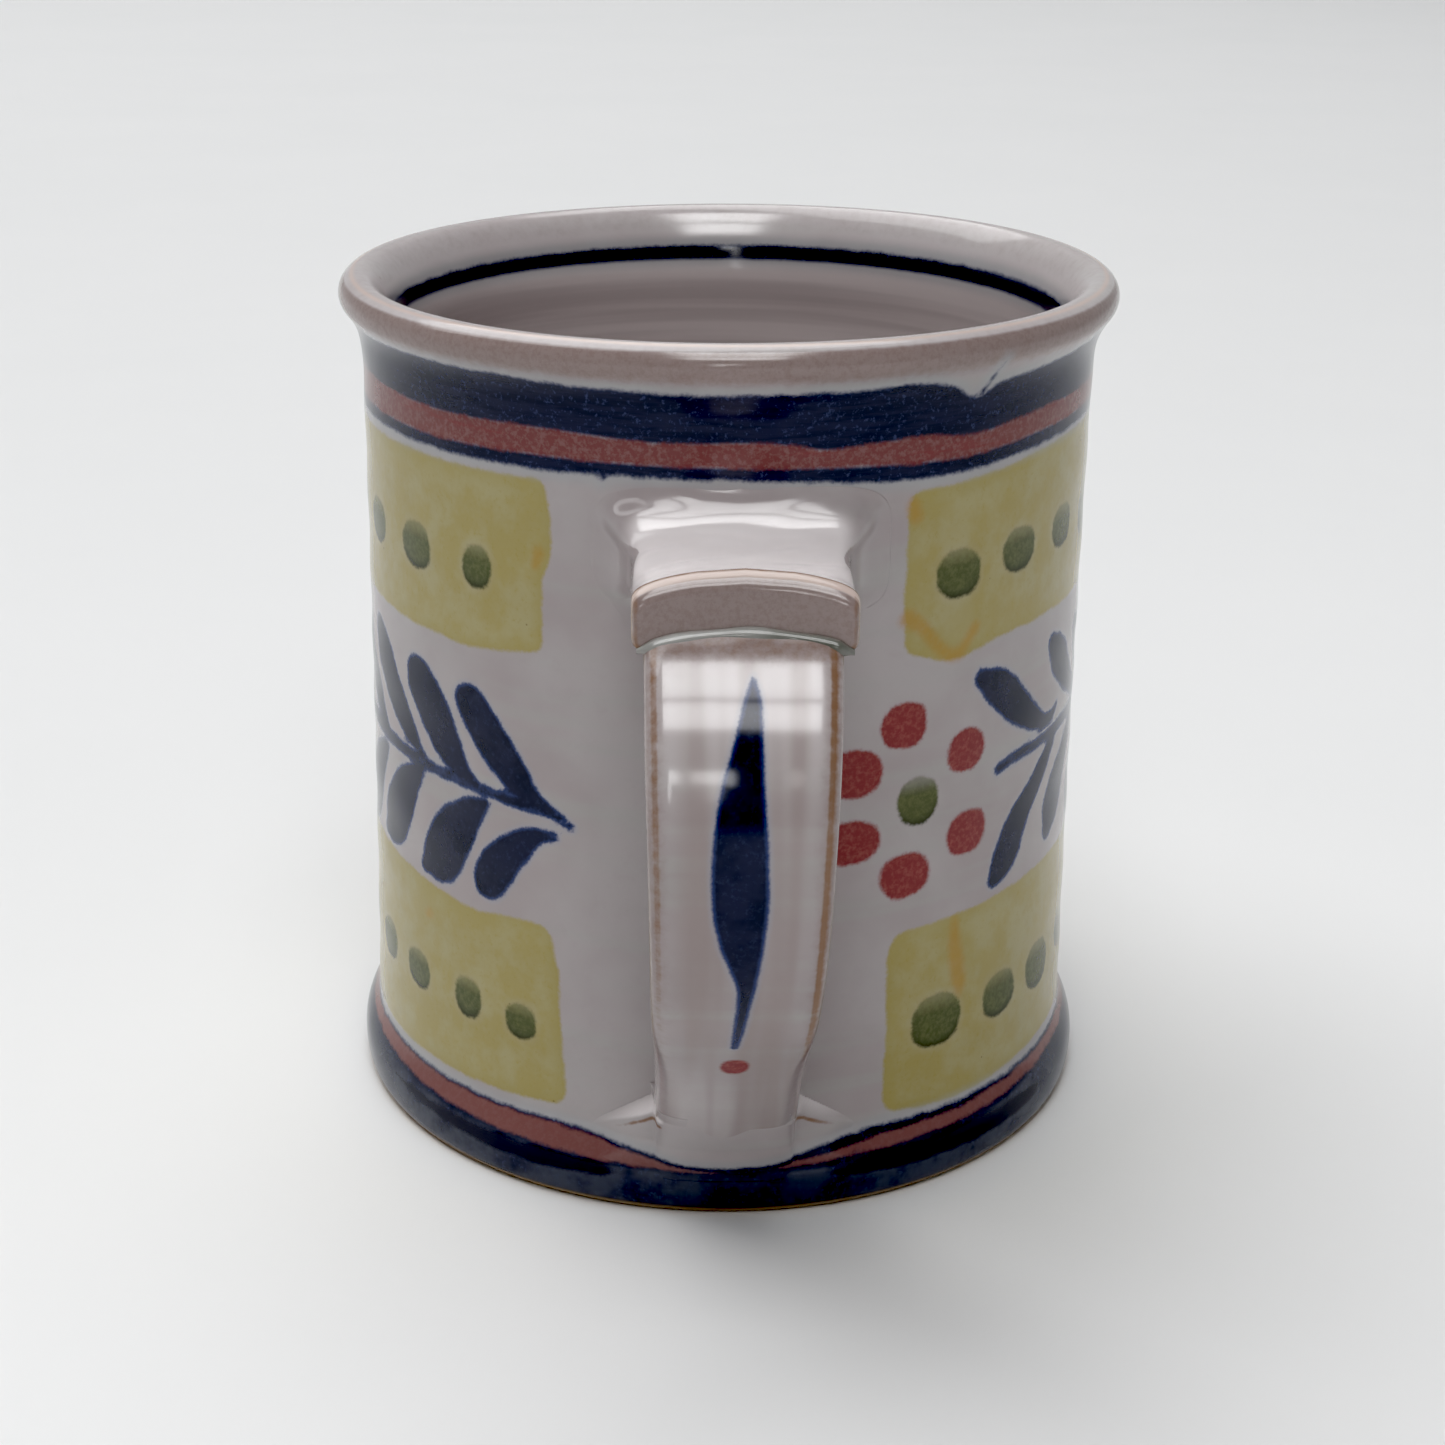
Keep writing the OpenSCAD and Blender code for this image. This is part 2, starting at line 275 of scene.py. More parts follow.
LOWER_PANEL = {
    "left": [(-19.6, 32), (-19.2, 28), (-18.7, 26), (-18.6, 22), (-18.2, 17), (-17.8, 12), (-18.0, 8)],
    "right": [(17.9, 32), (17.3, 28), (17.4, 20), (17.2, 14), (17.4, 8)],
    "top": [(-60, 31.9), (-48, 32.0), (-36, 31.3), (-30, 30.8), (-25, 31.5), (-20, 31.5),
            (20, 31.2), (30, 31.6), (44, 32.2), (80, 31.6), (110, 31.9)],
    "bottom": [(-60, 9.5), (-40, 9.6), (-28, 9.9), (-18, 10.5), (18, 9.6), (25, 8.9), (30, 8.9),
               (44, 9.7), (80, 9.9), (110, 9.6)],
    "corner": 1.7,
}

# Bands round the rim and the foot, each edge through its own (s, z) stops. Rose overlaps navy a little.
STRIPE_LOW = [(-110, 81.6), (-80, 81.5), (-50, 81.4), (-35, 81.4), (-20, 81.6), (-8, 81.9), (4, 81.8),
              (10, 81.5), (16, 81.1), (26, 81.2), (36, 81.8), (46, 82.2), (80, 82.0), (110, 81.7)]
STRIPE_HIGH = [(-100, 83.3), (-50, 82.9), (-35, 82.9), (-20, 83.3), (-8, 83.4), (2, 83.4), (12, 83.2),
               (25, 82.9), (35, 83.5), (46, 83.8), (90, 83.5)]
ROSE_HIGH = [(-100, 85.5), (-50, 85.7), (-35, 85.4), (-18, 85.7), (-8, 85.3), (4, 85.4), (9, 84.7),
             (14, 85.0), (20, 85.2), (25, 84.6), (30, 85.0), (36, 85.5), (46, 85.7), (90, 85.6)]
BAND_HIGH = [(-100, 91.0), (-50, 91.2), (-35, 91.3), (-22, 91.2), (-10, 90.8), (0, 90.7), (12, 90.8),
             (20, 90.8), (22.6, 90.0), (24.6, 89.0), (26.2, 88.7), (28, 89.6), (32, 90.2),
             (40, 90.8), (46, 91.3), (90, 91.0)]
BAND_FLICK = [(26.2, 88.9, 0.4), (27.2, 90.6, 0.25), (27.6, 92.2, 0.12)]
STRIPE_DRIP = [(-13.7, 82.2, 0.5), (-13.7, 81.5, 0.32)]
FOOT_LINE_HIGH = [(-110, 8.6), (-50, 8.5), (-25, 8.5), (-18, 8.5), (-14, 8.1), (-10, 7.6), (-6, 6.9),
                  (-3, 6.4), (0, 6.2), (3, 6.5), (6, 7.0), (10, 7.9), (13, 8.2), (17, 8.5),
                  (25, 8.4), (40, 8.6), (50, 8.8), (90, 8.6)]
FOOT_LINE_LOW = [(-110, 8.1), (-50, 8.1), (-25, 8.0), (-18, 8.0), (-14, 7.6), (-10, 6.9), (-6, 6.2),
                 (-3, 5.6), (0, 5.3), (3, 5.6), (6, 6.1), (10, 6.6), (13, 6.9), (16, 7.3),
                 (25, 7.5), (40, 8.0), (50, 8.3), (90, 8.1)]
FOOT_ROSE_LOW = [(-110, 6.6), (-50, 6.9), (-40, 6.5), (-30, 6.1), (-20, 5.8), (-10, 5.5), (-6, 5.4),
                 (-3, 5.5), (0, 5.6), (4, 5.8), (8, 5.9), (12, 6.0), (20, 6.2), (30, 6.5),
                 (46, 7.2), (90, 6.8)]
FOOT_DARKS = [
    [(-44, 5.0, 0.1), (-36, 4.8, 0.6), (-28, 4.6, 0.9), (-20, 4.5, 1.0), (-14, 4.55, 0.7), (-11, 4.6, 0.1)],
    [(11, 4.5, 0.1), (15, 4.7, 0.9), (21, 4.75, 1.15), (30, 4.7, 1.1), (37, 4.7, 0.9), (43, 4.8, 0.1)],
    [(56, 4.9, 0.1), (66, 4.7, 0.9), (78, 4.8, 1.1), (92, 4.7, 0.8), (101, 4.8, 0.1)],
    [(-60, 5.0, 0.1), (-72, 4.8, 0.8), (-86, 4.7, 1.1), (-100, 4.8, 0.9), (-110, 4.9, 0.1)],
]
BAND_BOTTOM = 0.1
ROSE_OVER_STRIPE = 0.25
ROSE_OVER_BAND = 0.3
ROSE_OVER_LINE = 0.15
INNER_RING = (90.15, 0.92)
RING_CORE = 0.5
ORANGE_STREAKS = [
    [(26.2, 30.5, 0.5), (26.4, 27.0, 0.9), (27.2, 23.5, 1.0), (27.4, 21.8, 0.5)],
    [(18.4, 66.5, 0.9), (20.5, 65.0, 0.6), (22.6, 62.6, 0.6), (25.0, 61.5, 0.6), (27.4, 64.0, 0.5)],
    [(-20.8, 73.0, 0.5), (-21.2, 71.5, 0.3)],
    [(-38.6, 27.3, 0.4), (-37.8, 27.6, 0.3)],
    [(18.4, 78.5, 0.7), (18.8, 77.2, 0.6)],
]
PALE_PATCHES = [(24.8, 65.6, 2.2, 3.0), (22.4, 31.0, 2.9, 1.2)]


def panel_field(s, z, panel):
    """A panel that runs from the right of the handle round the back to its left."""
    left = np.interp(z, *np.array(sorted((h, p) for p, h in panel["left"])).T)
    right = np.interp(z, *np.array(sorted((h, p) for p, h in panel["right"])).T)
    sideways = np.where(s < 0, s - left, right - s)
    upright = np.maximum(z - edge_line(s, panel["top"]), edge_line(s, panel["bottom"]) - z)
    corner = panel["corner"]
    outer = np.hypot(np.maximum(sideways + corner, 0), np.maximum(upright + corner, 0)) - corner
    return np.where((sideways > -corner) & (upright > -corner), outer, np.maximum(sideways, upright))


def back_dots(row, height):
    """Seeded dots that carry a row round the back, between its last dots on each side."""
    random = np.random.default_rng(int(height))
    first = max(spot[0] for spot in row) + DOT_SPACING
    last = ROUND + min(spot[0] for spot in row) - DOT_SPACING
    places = np.linspace(first, last, int(round((last - first) / DOT_SPACING)) + 1)
    return [(p + random.uniform(-0.5, 0.5), height + random.uniform(-0.4, 0.4),
             random.uniform(2.5, 3.1), random.uniform(2.3, 2.8)) for p in places]


def shifted(path, distance, lift=0.0):
    return [(p[0] + distance, p[1] + lift) + tuple(p[2:]) for p in path]


def navy_strokes():
    """Every leaf and stem: the left sprig, the right one, and their hidden continuation."""
    strokes = [TIP_LEAF, UPPER_LEAF, THIRD_LEAF, HOOKED_LEAF, LOWER_LEAF, STEM]
    strokes += [shifted(LOWER_LEAF, -11.0, 0.5)]
    for i in range(1, 6):
        strokes.append(shifted(THIRD_LEAF, -LEAF_SPACING * i, 0.3 * math.sin(2.0 * i)))
        strokes.append(shifted(LOWER_LEAF, -11.0 - LEAF_SPACING * i, 0.4 * math.cos(1.7 * i)))
    strokes += STARTING_STROKES
    for i in range(1, 6):
        strokes.append(shifted(STARTING_STROKES[3], LEAF_SPACING * i, -0.9 * math.sin(1.3 * i)))
        strokes.append(shifted(STARTING_STROKES[4], LEAF_SPACING * i, -0.8 * math.sin(0.9 * i)))
    return strokes


def paint_fields(points, inside):
    """Signed distance to each paint at points on the wall. Inside the mug only the ring is painted."""
    s, z = wall_place(points)
    outside = ~inside
    fields = {name: np.full(len(points), FAR) for name in
              ("navy", "band", "rose", "red", "green", "panel", "streak", "pale", "dark")}
    fields["shade"] = np.zeros(len(points))

    def add(name, distance):
        fields[name][outside] = np.minimum(fields[name][outside], distance[outside])

    for name, paths in (("navy", navy_strokes()), ("band", [BAND_FLICK, STRIPE_DRIP]),
                        ("streak", ORANGE_STREAKS), ("dark", FOOT_DARKS)):
        for path in paths:
            add(name, stroke(s, z, path))
    for spot in PALE_PATCHES:
        add("pale", daub(s, z, spot)[0])
    for turn in (0, FLOWER_REPEAT):
        for spot in shifted(PETALS, turn):
            add("red", daub(s, z, spot)[0])
    greens = UPPER_DOTS + LOWER_DOTS + back_dots(UPPER_DOTS, 70.6) + back_dots(LOWER_DOTS, 19.4)
    for spot in greens + shifted([FLOWER_CENTRE], 0) + shifted([FLOWER_CENTRE], FLOWER_REPEAT):
        distance, down = daub(s, z, spot)
        nearer = distance < fields["green"]
        fields["shade"][nearer] = np.clip(down[nearer], -1.5, 1.5)
        add("green", distance)
    for panel in (UPPER_PANEL, LOWER_PANEL):
        add("panel", panel_field(s, z, panel))
    stripe_high, rose_high = edge_line(s, STRIPE_HIGH), edge_line(s, ROSE_HIGH)
    foot_rose_high = edge_line(s, FOOT_LINE_LOW) + ROSE_OVER_LINE
    for name, low, high in (("band", edge_line(s, STRIPE_LOW), stripe_high),
                            ("band", rose_high, edge_line(s, BAND_HIGH)),
                            ("band", BAND_BOTTOM, edge_line(s, FOOT_LINE_HIGH)),
                            ("rose", stripe_high - ROSE_OVER_STRIPE, rose_high + ROSE_OVER_BAND),
                            ("rose", edge_line(s, FOOT_ROSE_LOW), foot_rose_high)):
        add(name, np.maximum(z - high, low - z))
    ring = np.abs(z[inside] - INNER_RING[0]) - INNER_RING[1]
    fields["band"][inside] = np.minimum(ring, FAR)
    fields["dark"][inside] = np.minimum(ring + RING_CORE, FAR)
    return fields


# ---- Mesh building ----

def make_piece(name, rings, loop=False, ends=True, fields=None, node=None):
    """A closed skin over rings of points (rows, columns, 3) in millimetres, with its fields as attributes.
    A loop joins the last ring to the first; ends closes both end rings with a fan."""
    rows, columns = rings.shape[:2]
    points = rings.reshape(-1, 3)
    faces, maps = [], []
    for i in range(rows if loop else rows - 1):
        a, b = i * columns, ((i + 1) % rows) * columns
        for j in range(columns):
            k = (j + 1) % columns
            faces.append((a + j, a + k, b + k, b + j))
            maps.append(((j, i), (j + 1, i), (j + 1, i + 1), (j, i + 1)))
    if ends and not loop:
        points = np.concatenate([points, [rings[0].mean(0), rings[-1].mean(0)]])
        for j in range(columns):
            k = (j + 1) % columns
            faces.append((rows * columns, k, j))
            maps.append(((j + 0.5, -0.5), (j + 1, 0), (j, 0)))
            faces.append((rows * columns + 1, (rows - 1) * columns + j, (rows - 1) * columns + k))
            maps.append(((j + 0.5, rows - 0.5), (j, rows - 1), (j + 1, rows - 1)))
    mesh = bpy.data.meshes.new(name)
    mesh.from_pydata([tuple(p) for p in points * MM], [], faces)
    mesh.polygons.foreach_set("use_smooth", [True] * len(mesh.polygons))
    layer = mesh.uv_layers.new(name="OFBake")
    flat = np.array([corner for face in maps for corner in face], float)
    flat[:, 0] = 0.004 + 0.992 * flat[:, 0] / columns
    flat[:, 1] = 0.004 + 0.992 * (flat[:, 1] + 0.5) / (rows + 0.5)
    layer.data.foreach_set("uv", flat.ravel())
    for key, values in (fields or {}).items():
        if len(values) < len(points):
            values = np.concatenate([values, values[[0, -1]]])
        attribute = mesh.attributes.new(key, "FLOAT", "POINT")
        attribute.data.foreach_set("value", np.asarray(values, np.float32))
    mesh.update()
    piece = bpy.data.objects.new(name, mesh)
    bpy.context.scene.collection.objects.link(piece)
    if node:
        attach(piece, "root")
        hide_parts(node)
    return piece


# ---- Thrown body ----

COLUMNS = 400
RIM_TINT, RIM_TINT_INSIDE = (90.3, 93.0), (91.6, 93.6)
LIP_LINE = (1.5, 0.1)
LIP_LINE_WIDTH = 0.42
OUTER_SPACING = 0.66
INNER_SPACING = 2.0


def body_outline():
    """Outline rows from the middle of the base to the middle of the floor, and which are inside."""
    roll = np.array([RIM_RADIUS - RIM_ROLL, BODY_HEIGHT - RIM_ROLL])
    inner_low, inner_high = WALL_RADIUS_LOW - WALL_THICKNESS, WALL_RADIUS_HIGH - WALL_THICKNESS
    lip = arc(roll, RIM_ROLL, -38, 128, 17)
    out_way = FLARE_HEIGHT * 0.3 * np.array([math.sin(math.radians(38)), math.cos(math.radians(38))])
    in_way = FLARE_HEIGHT * 0.2 * np.array([-math.sin(math.radians(128)), math.cos(math.radians(128))])
    heights = np.linspace(FOOT_HEIGHT, FLARE_START, 60)
    base = np.array([[1.5, 0.0], [FOOT_FLAT_RADIUS - 0.6, 0.0], [FOOT_FLAT_RADIUS, 0.12]])
    outer = join_lines(
        cubic(base[-1], (FOOT_RADIUS - 0.2, 0.4), (FOOT_RADIUS, FLANGE_HEIGHT / 2),
              (FOOT_RADIUS, FLANGE_HEIGHT), 14),
        flange_line(14),
        np.stack([wall_radius(heights), heights], 1),
        cubic((WALL_RADIUS_HIGH, FLARE_START), (WALL_RADIUS_HIGH, FLARE_START + FLARE_HEIGHT * 0.45),
              lip[0] - out_way, lip[0], 14))
    inner = join_lines(
        cubic(lip[-1], lip[-1] + in_way, (inner_high, FLARE_START + FLARE_HEIGHT * 0.7),
              (inner_high, FLARE_START + FLARE_HEIGHT * 0.35), 14),
        arc((inner_low - FLOOR_CURVE, FLOOR_THICKNESS + FLOOR_CURVE), FLOOR_CURVE, 0, -90, 14),
        np.array([[inner_low - FLOOR_CURVE, FLOOR_THICKNESS], [1.5, FLOOR_THICKNESS]]))
    lines = [resample(base, 4.0), resample(outer, OUTER_SPACING), resample(lip, 0.4),
             resample(inner[:14], 0.6), resample(inner[13:], INNER_SPACING)]
    rows = join_lines(*lines)
    outside_rows = len(lines[0]) + len(lines[1]) + len(lines[2]) // 2 - 2
    return rows, np.arange(len(rows)) >= outside_rows


def build_body():
    outline, inside_rows = body_outline()
    angle = 2 * math.pi * np.arange(COLUMNS) / COLUMNS
    radius, z = outline[:, 0][:, None], outline[:, 1][:, None]
    grip = smooth_step(z, 0.5, 12) * smooth_step(radius, 20, 36)
    ripple = 0.05 * np.sin(z * 0.75 + angle + 0.6 * np.sin(z * 0.13)) * grip
    ripple = ripple + np.where(inside_rows[:, None], 0.10 * np.sin(z * 0.9 - angle) * grip, 0)
    oval = 0.09 * np.sin(2 * angle + 0.7) * smooth_step(z, 40, 95)
    radius = radius + ripple * (1 - smooth_step(z, 88, 93)) + oval
    x, y = radius * np.sin(angle), -radius * np.cos(angle)
    sway = 0.07 * np.sin(3 * angle + 1.1) + RIM_TILT * x / RIM_RADIUS
    height = z + sway * smooth_step(z, 84, 94)
    rings = np.stack([x, y, height + 0 * x], -1)
    true_rings = np.stack([x, y, z + 0 * x], -1)
    inside = np.repeat(inside_rows, COLUMNS)
    fields = paint_fields(true_rings.reshape(-1, 3), inside)
    flat_z = true_rings[..., 2].ravel()
    rim = np.where(inside, smooth_step(flat_z, *RIM_TINT_INSIDE) * 0.3,
                   smooth_step(flat_z, *RIM_TINT))
    fields["warm"] = rim
    lip_place = np.array([RIM_RADIUS, BODY_HEIGHT]) - LIP_LINE
    edge = np.repeat(np.linalg.norm(outline - lip_place, axis=1), COLUMNS)
    # Painted highlight: the inside of the lip is made paler where it catches the light.
    fields["light"] = np.where(inside, 0.35 * smooth_step(flat_z, 91.0, 92.8), 0)
    # A cream line along the lip's crest: thin glaze breaking over the edge, and also a painted highlight.
    fields["cream_and_highlight"] = 0.85 * np.exp(-(edge / LIP_LINE_WIDTH) ** 2)
    fields["base"] = np.where(inside, 0, smooth_step(flat_z, 0.70, 0.40))
    # On the body the ochre field also marks painted shade: the lowest 1.5 mm of the foot, where it meets
    # the table.
    fields["ochre"] = np.where(inside, 0, smooth_step(flat_z, 1.5, 0.9))
    bare = np.repeat(outline[:, 0] < FOOT_FLAT_RADIUS + 0.1, COLUMNS) & (flat_z < 0.3)
    fields["bare"] = bare.astype(float)
    fields["inner"] = inside * smooth_step(flat_z, 92.0, 89.0)
    return make_piece("thrown_body_glazed", rings, fields=fields,
                      node="thrown_body")


# ---- Strap ----

STRAP_MIDDLE = HANDLE_REACH - STRAP_THICKNESS / 2
STRAP_BELLY = (STRAP_MIDDLE, 52.0)
UPPER_CURVE = ((WALL_RADIUS_HIGH - 2.2, 71.5), (WALL_RADIUS_HIGH + 14.8, 76.0),
               (STRAP_MIDDLE - 0.2, 70.0), STRAP_BELLY)
LOWER_CURVE = (STRAP_BELLY, (STRAP_MIDDLE, 38.0), (WALL_RADIUS_LOW + 11.2, 28.1),
               (WALL_RADIUS_LOW - 2.8, 6.5))
STRAP_ROWS = 170
ROUNDING = (1.4, 1.8)
PAINTED_BELOW = 12
SHOULDER = (28.6, 25.5)
SHOULDER_START = 10
SECTION_POINTS = 120
HANDLE_LEAF = [(0.8, 28.6, 0.2), (0.75, 31.0, 0.85), (0.4, 35.0, 1.4), (-0.1, 40.0, 2.15),
               (-0.2, 45.0, 2.6), (-0.1, 50.0, 2.65), (0.1, 54.0, 2.15), (0.45, 57.0, 1.55),
               (0.7, 60.0, 1.0), (0.6, 63.0, 0.75), (0.3, 68.0, 0.6), (0.0, 72.2, 0.4)]
HANDLE_DAUB = (0.2, 77.2, 1.45, 1.9)


def superellipse(angle, squareness):
    c, s = np.cos(angle), np.sin(angle)
    return (np.sign(c) * np.abs(c) ** (2 / squareness), np.sign(s) * np.abs(s) ** (2 / squareness))


def strap_line():
    """Middle line of the strap as (t, distance from the axis, z), evenly spaced, and its outward side."""
    dense = join_lines(cubic(*UPPER_CURVE, 200), cubic(*LOWER_CURVE, 200))
    t = np.linspace(0, 2, len(dense))
    along = np.gradient(dense, axis=0)
    along /= np.linalg.norm(along, axis=1)[:, None]
    out = np.stack([-along[:, 1], along[:, 0]], 1)
    return even_points(np.column_stack([dense, t, out]), STRAP_ROWS)


def strap_section(squareness):
    """One closed section of the strap, square in front and soft at the back, each way from -1 to 1."""
    angle = -2 * math.pi * np.arange(1441) / 1440
    front = np.stack(superellipse(angle, squareness), 1)
    back = np.stack(superellipse(angle, STRAP_BACK_SQUARENESS), 1)
    size = np.array([STRAP_WIDTH_TOP / 2, STRAP_THICKNESS / 2])
    line = np.where(front[:, 1:] > 0, front, back) * size
    return (even_points(line, SECTION_POINTS + 1)[:-1] / size).T


def strap_half_width(t):
    return (STRAP_WIDTH_TOP + (STRAP_WIDTH_LOW - STRAP_WIDTH_TOP) * (t / 2) ** 0.8) / 2


def build_strap():
    line = strap_line()
    middle, t, out = line[:, :2], line[:, 2], line[:, 3:5]
    front = middle + out * STRAP_THICKNESS / 2
    along = run_length(front)
    square = strap_section(STRAP_FRONT_SQUARENESS)[:, None, :]
    rounded = strap_section(STRAP_END_SQUARENESS)[:, None, :]
    across, through = square + (rounded - square) * smooth_step(t, *ROUNDING)[None, :, None]
    half = strap_half_width(t)[:, None] * (1 + 0.006 * np.sin(along * 0.21))[:, None]
    ridge = 0.05 * np.cos(across * 7.0 + 0.4) * (through > 0) * (np.abs(across) < 0.85)
    thick = STRAP_THICKNESS / 2 * through + ridge
    x = half * across + (STRAP_LEAN * (0.5 - t / 2))[:, None]
    p = middle[:, 0][:, None] + out[:, 0][:, None] * thick
    z = middle[:, 1][:, None] + out[:, 1][:, None] * thick
    rings = np.stack([x, -p, z], -1)
    points = rings.reshape(-1, 3)
    u = (half * across).ravel()
    v = np.repeat(along, SECTION_POINTS)
    facing = through.ravel() > 0.3
    above = points[:, 2] > PAINTED_BELOW
    fields = paint_fields(points, above)
    for key in fields:
        if key != "shade":
            fields[key][above] = FAR
    leaf = stroke(u, v, HANDLE_LEAF, wrap=False)
    dot = daub(u, v, HANDLE_DAUB, wrap=False)[0]
    fields["navy"] = np.where(facing, np.minimum(fields["navy"], leaf), fields["navy"])
    fields["red"] = np.where(facing, dot, FAR)
    corner_place = 0.5 ** (1 / STRAP_FRONT_SQUARENESS)
    gap = np.hypot(np.abs(u) - corner_place * np.repeat(half[:, 0], SECTION_POINTS),
                   thick.ravel() - corner_place * STRAP_THICKNESS / 2)
    corner = smooth_step(gap, 0.72, 0.18)
    fade = 0.92 - 0.25 * (u < 0) - 0.6 * smooth_step(v, 42 + 20 * (u > 0), 92)
    shoulder = smooth_step(v, *SHOULDER) * (v > SHOULDER_START)
    border = smooth_step(np.abs(u) / np.repeat(half[:, 0], SECTION_POINTS), 0.70, 0.95)
    border = border * smooth_step(through.ravel(), 0.0, 0.7)
    fields["ochre"] = np.maximum(corner * fade, 0.45 * shoulder)
    fields["warm"] = np.maximum(0.9 * shoulder, border * (0.55 - 0.3 * smooth_step(v, 50, 90)) + 0.12)
    # Painted light: the strap's upper part and its lower end are made paler where light falls on them.
    fields["light"] = smooth_step(v, 48, 32) * 0.40 + 0.26 * smooth_step(v, 74, 90)
    return make_piece("handle_strap_glazed", rings, fields=fields,
                      node="handle_strap")


# ---- Thumb rest ----

REST_POINTS = 160
REST_FILLET = 4.8
FLARE_REACH = 7.0
REST_LEVEL = 76.75
SLUMP_TOP = 81.3
REST_BROW = (60.0, 76.92)
BROW_RADIUS = 1.8
REST_MIDDLE_HEIGHT = 75.2
REST_DRAWN_HEIGHT = 78.8
REST_BOTTOM, REST_FACE_BOTTOM, REST_ROOT_BOTTOM = 70.8, 72.4, 67.5


def rest_top_line():
    """Height of the thumb rest's top against distance from the wall: a slump, a level, then the brow."""
    slump = cubic((0, SLUMP_TOP), (0.5, 79.0), (1.9, 76.9), (5.4, REST_LEVEL), 60)
    brow = REST_BROW[0] - WALL_RADIUS_HIGH
    rise = cubic((5.4, REST_LEVEL), (9, 76.6), (14.5, 77.6), (brow, REST_BROW[1] + BROW_RADIUS), 60)
    return join_lines(slump, rise)


def rest_rings():
    """Rings of the thumb rest as (distance from the wall, half width, top, low); the crest's number."""
    full, lift = REST_WIDTH / 2, REST_HEIGHT - REST_DRAWN_HEIGHT
    turn = np.radians(np.linspace(0, 90, 32))
    near = np.stack([FLARE_REACH * (1 - np.cos(turn)), full + REST_FILLET * (1 - np.sin(turn))], 1)
    brow = REST_BROW[0] - WALL_RADIUS_HIGH
    far = np.stack([np.linspace(FLARE_REACH, brow, 36)[1:], np.full(35, full)], 1)
    top_line = rest_top_line()
    rings = [(-1.5, full + REST_FILLET, SLUMP_TOP + lift, REST_ROOT_BOTTOM)]
    for d, half in np.concatenate([near, far]):
        top = np.interp(d, top_line[:, 0], top_line[:, 1]) + lift
        low = REST_BOTTOM - 0.7 * (half - full) + 1.6 * smooth_step(d, 14, 19)
        rings.append((d, half, top, low))
    crest = len(rings)
    for i, (p, top) in enumerate(arc(REST_BROW, BROW_RADIUS, 90, 8, 14)[1:]):
        share = (i + 1) / 13
        out = brow + (p - REST_BROW[0]) * (REST_FRONT - REST_BROW[0]) / BROW_RADIUS
        rings.append((out, full - 0.55 * share ** 2, top + lift, REST_FACE_BOTTOM + 0.3 * share))
    out, half, top, low = rings[-1]
    middle = REST_MIDDLE_HEIGHT
    for shrink in np.linspace(0.97, 0.06, 14):
        rings.append((out - 0.12 * (1 - shrink), half * shrink, middle + (top - middle) * shrink,
                      middle + (low - middle) * shrink))
    return rings, crest


def build_rest():
    stations, crest = rest_rings()
    angle = -2 * math.pi * np.arange(REST_POINTS) / REST_POINTS
    full = REST_WIDTH / 2
    rings, flat_z, order, gap = [], [], [], []
    for i, (d, half, top, low) in enumerate(stations):
        c, s = superellipse(angle, 5.0 + 2.5 * smooth_step(d, 2, 10))
        x = half * c
        side = np.clip(x / full, -1.4, 1.4)
        reach = smooth_step(d, 3, 17)
        crown = REST_CROWN * smooth_step(d, 5, 17)
        wavy = 0.16 * np.sin(5.0 * side + 0.8 * d) * smooth_step(d, 0.3, 2) * (1 - smooth_step(d, 9, 16))
        z = (top + low) / 2 + (top - low) / 2 * s + wavy * smooth_step(s, 0.5, 0.95)
        straight = reach + (1 - reach) * smooth_step(s, 0.3, 0.9) * smooth_step(d, 0, 0.9)
        wall = np.sqrt(WALL_RADIUS_HIGH ** 2 - x ** 2) * (1 - straight) + WALL_RADIUS_HIGH * straight
        out = wall + d - REST_HOLLOW * reach * (1 - np.minimum(side ** 2, 1))
        rings.append(np.stack([x + STRAP_LEAN / 2, -out, z - crown * side ** 2], 1))
        flat_z.append(z)
        order.append(np.full(REST_POINTS, i))
        gap.append(np.full(REST_POINTS, d))
    rings, flat_z, order, gap = np.array(rings), np.ravel(flat_z), np.ravel(order), np.ravel(gap)
    x = np.abs(rings[..., 0].ravel() - STRAP_LEAN / 2)
    upper = flat_z > 76.2
    brow_line = np.exp(-((order - crest + 1.0) / 1.5) ** 2) * upper
    side_line = smooth_step(x, full - 1.0, full - 0.5) * (order > crest + 3)
    lower = smooth_step(flat_z, 73.9, 72.9) * (order > crest)
    # Painted top light: the level top of the thumb rest is made paler, partly as thicker pooled glaze and
    # partly as painted highlight.
    level = smooth_step(gap, 0.3, 1.8) * smooth_step(order, crest + 1, crest - 5)
    level = level * smooth_step(x, full + 1.5, full - 1.0) * upper
    fields = {
        "ochre": np.clip(brow_line + 0.6 * side_line + 0.6 * lower, 0, 1),
        "warm": smooth_step(order, crest + 4, crest + 8) + 0.25 * smooth_step(order, crest - 3, crest),
        # The cream band over the brow is thin glaze and also a painted highlight.
        "cream_and_highlight": smooth_step(order, crest - 2, crest + 1) * smooth_step(order, crest + 7, crest + 4),
        "light": level,
    }
    return make_piece("thumb_rest_glazed", rings, fields=fields, node="thumb_rest")


# ---- Luting clay ----

COIL_STEPS = 120
FILLET_TUCK = 1.4


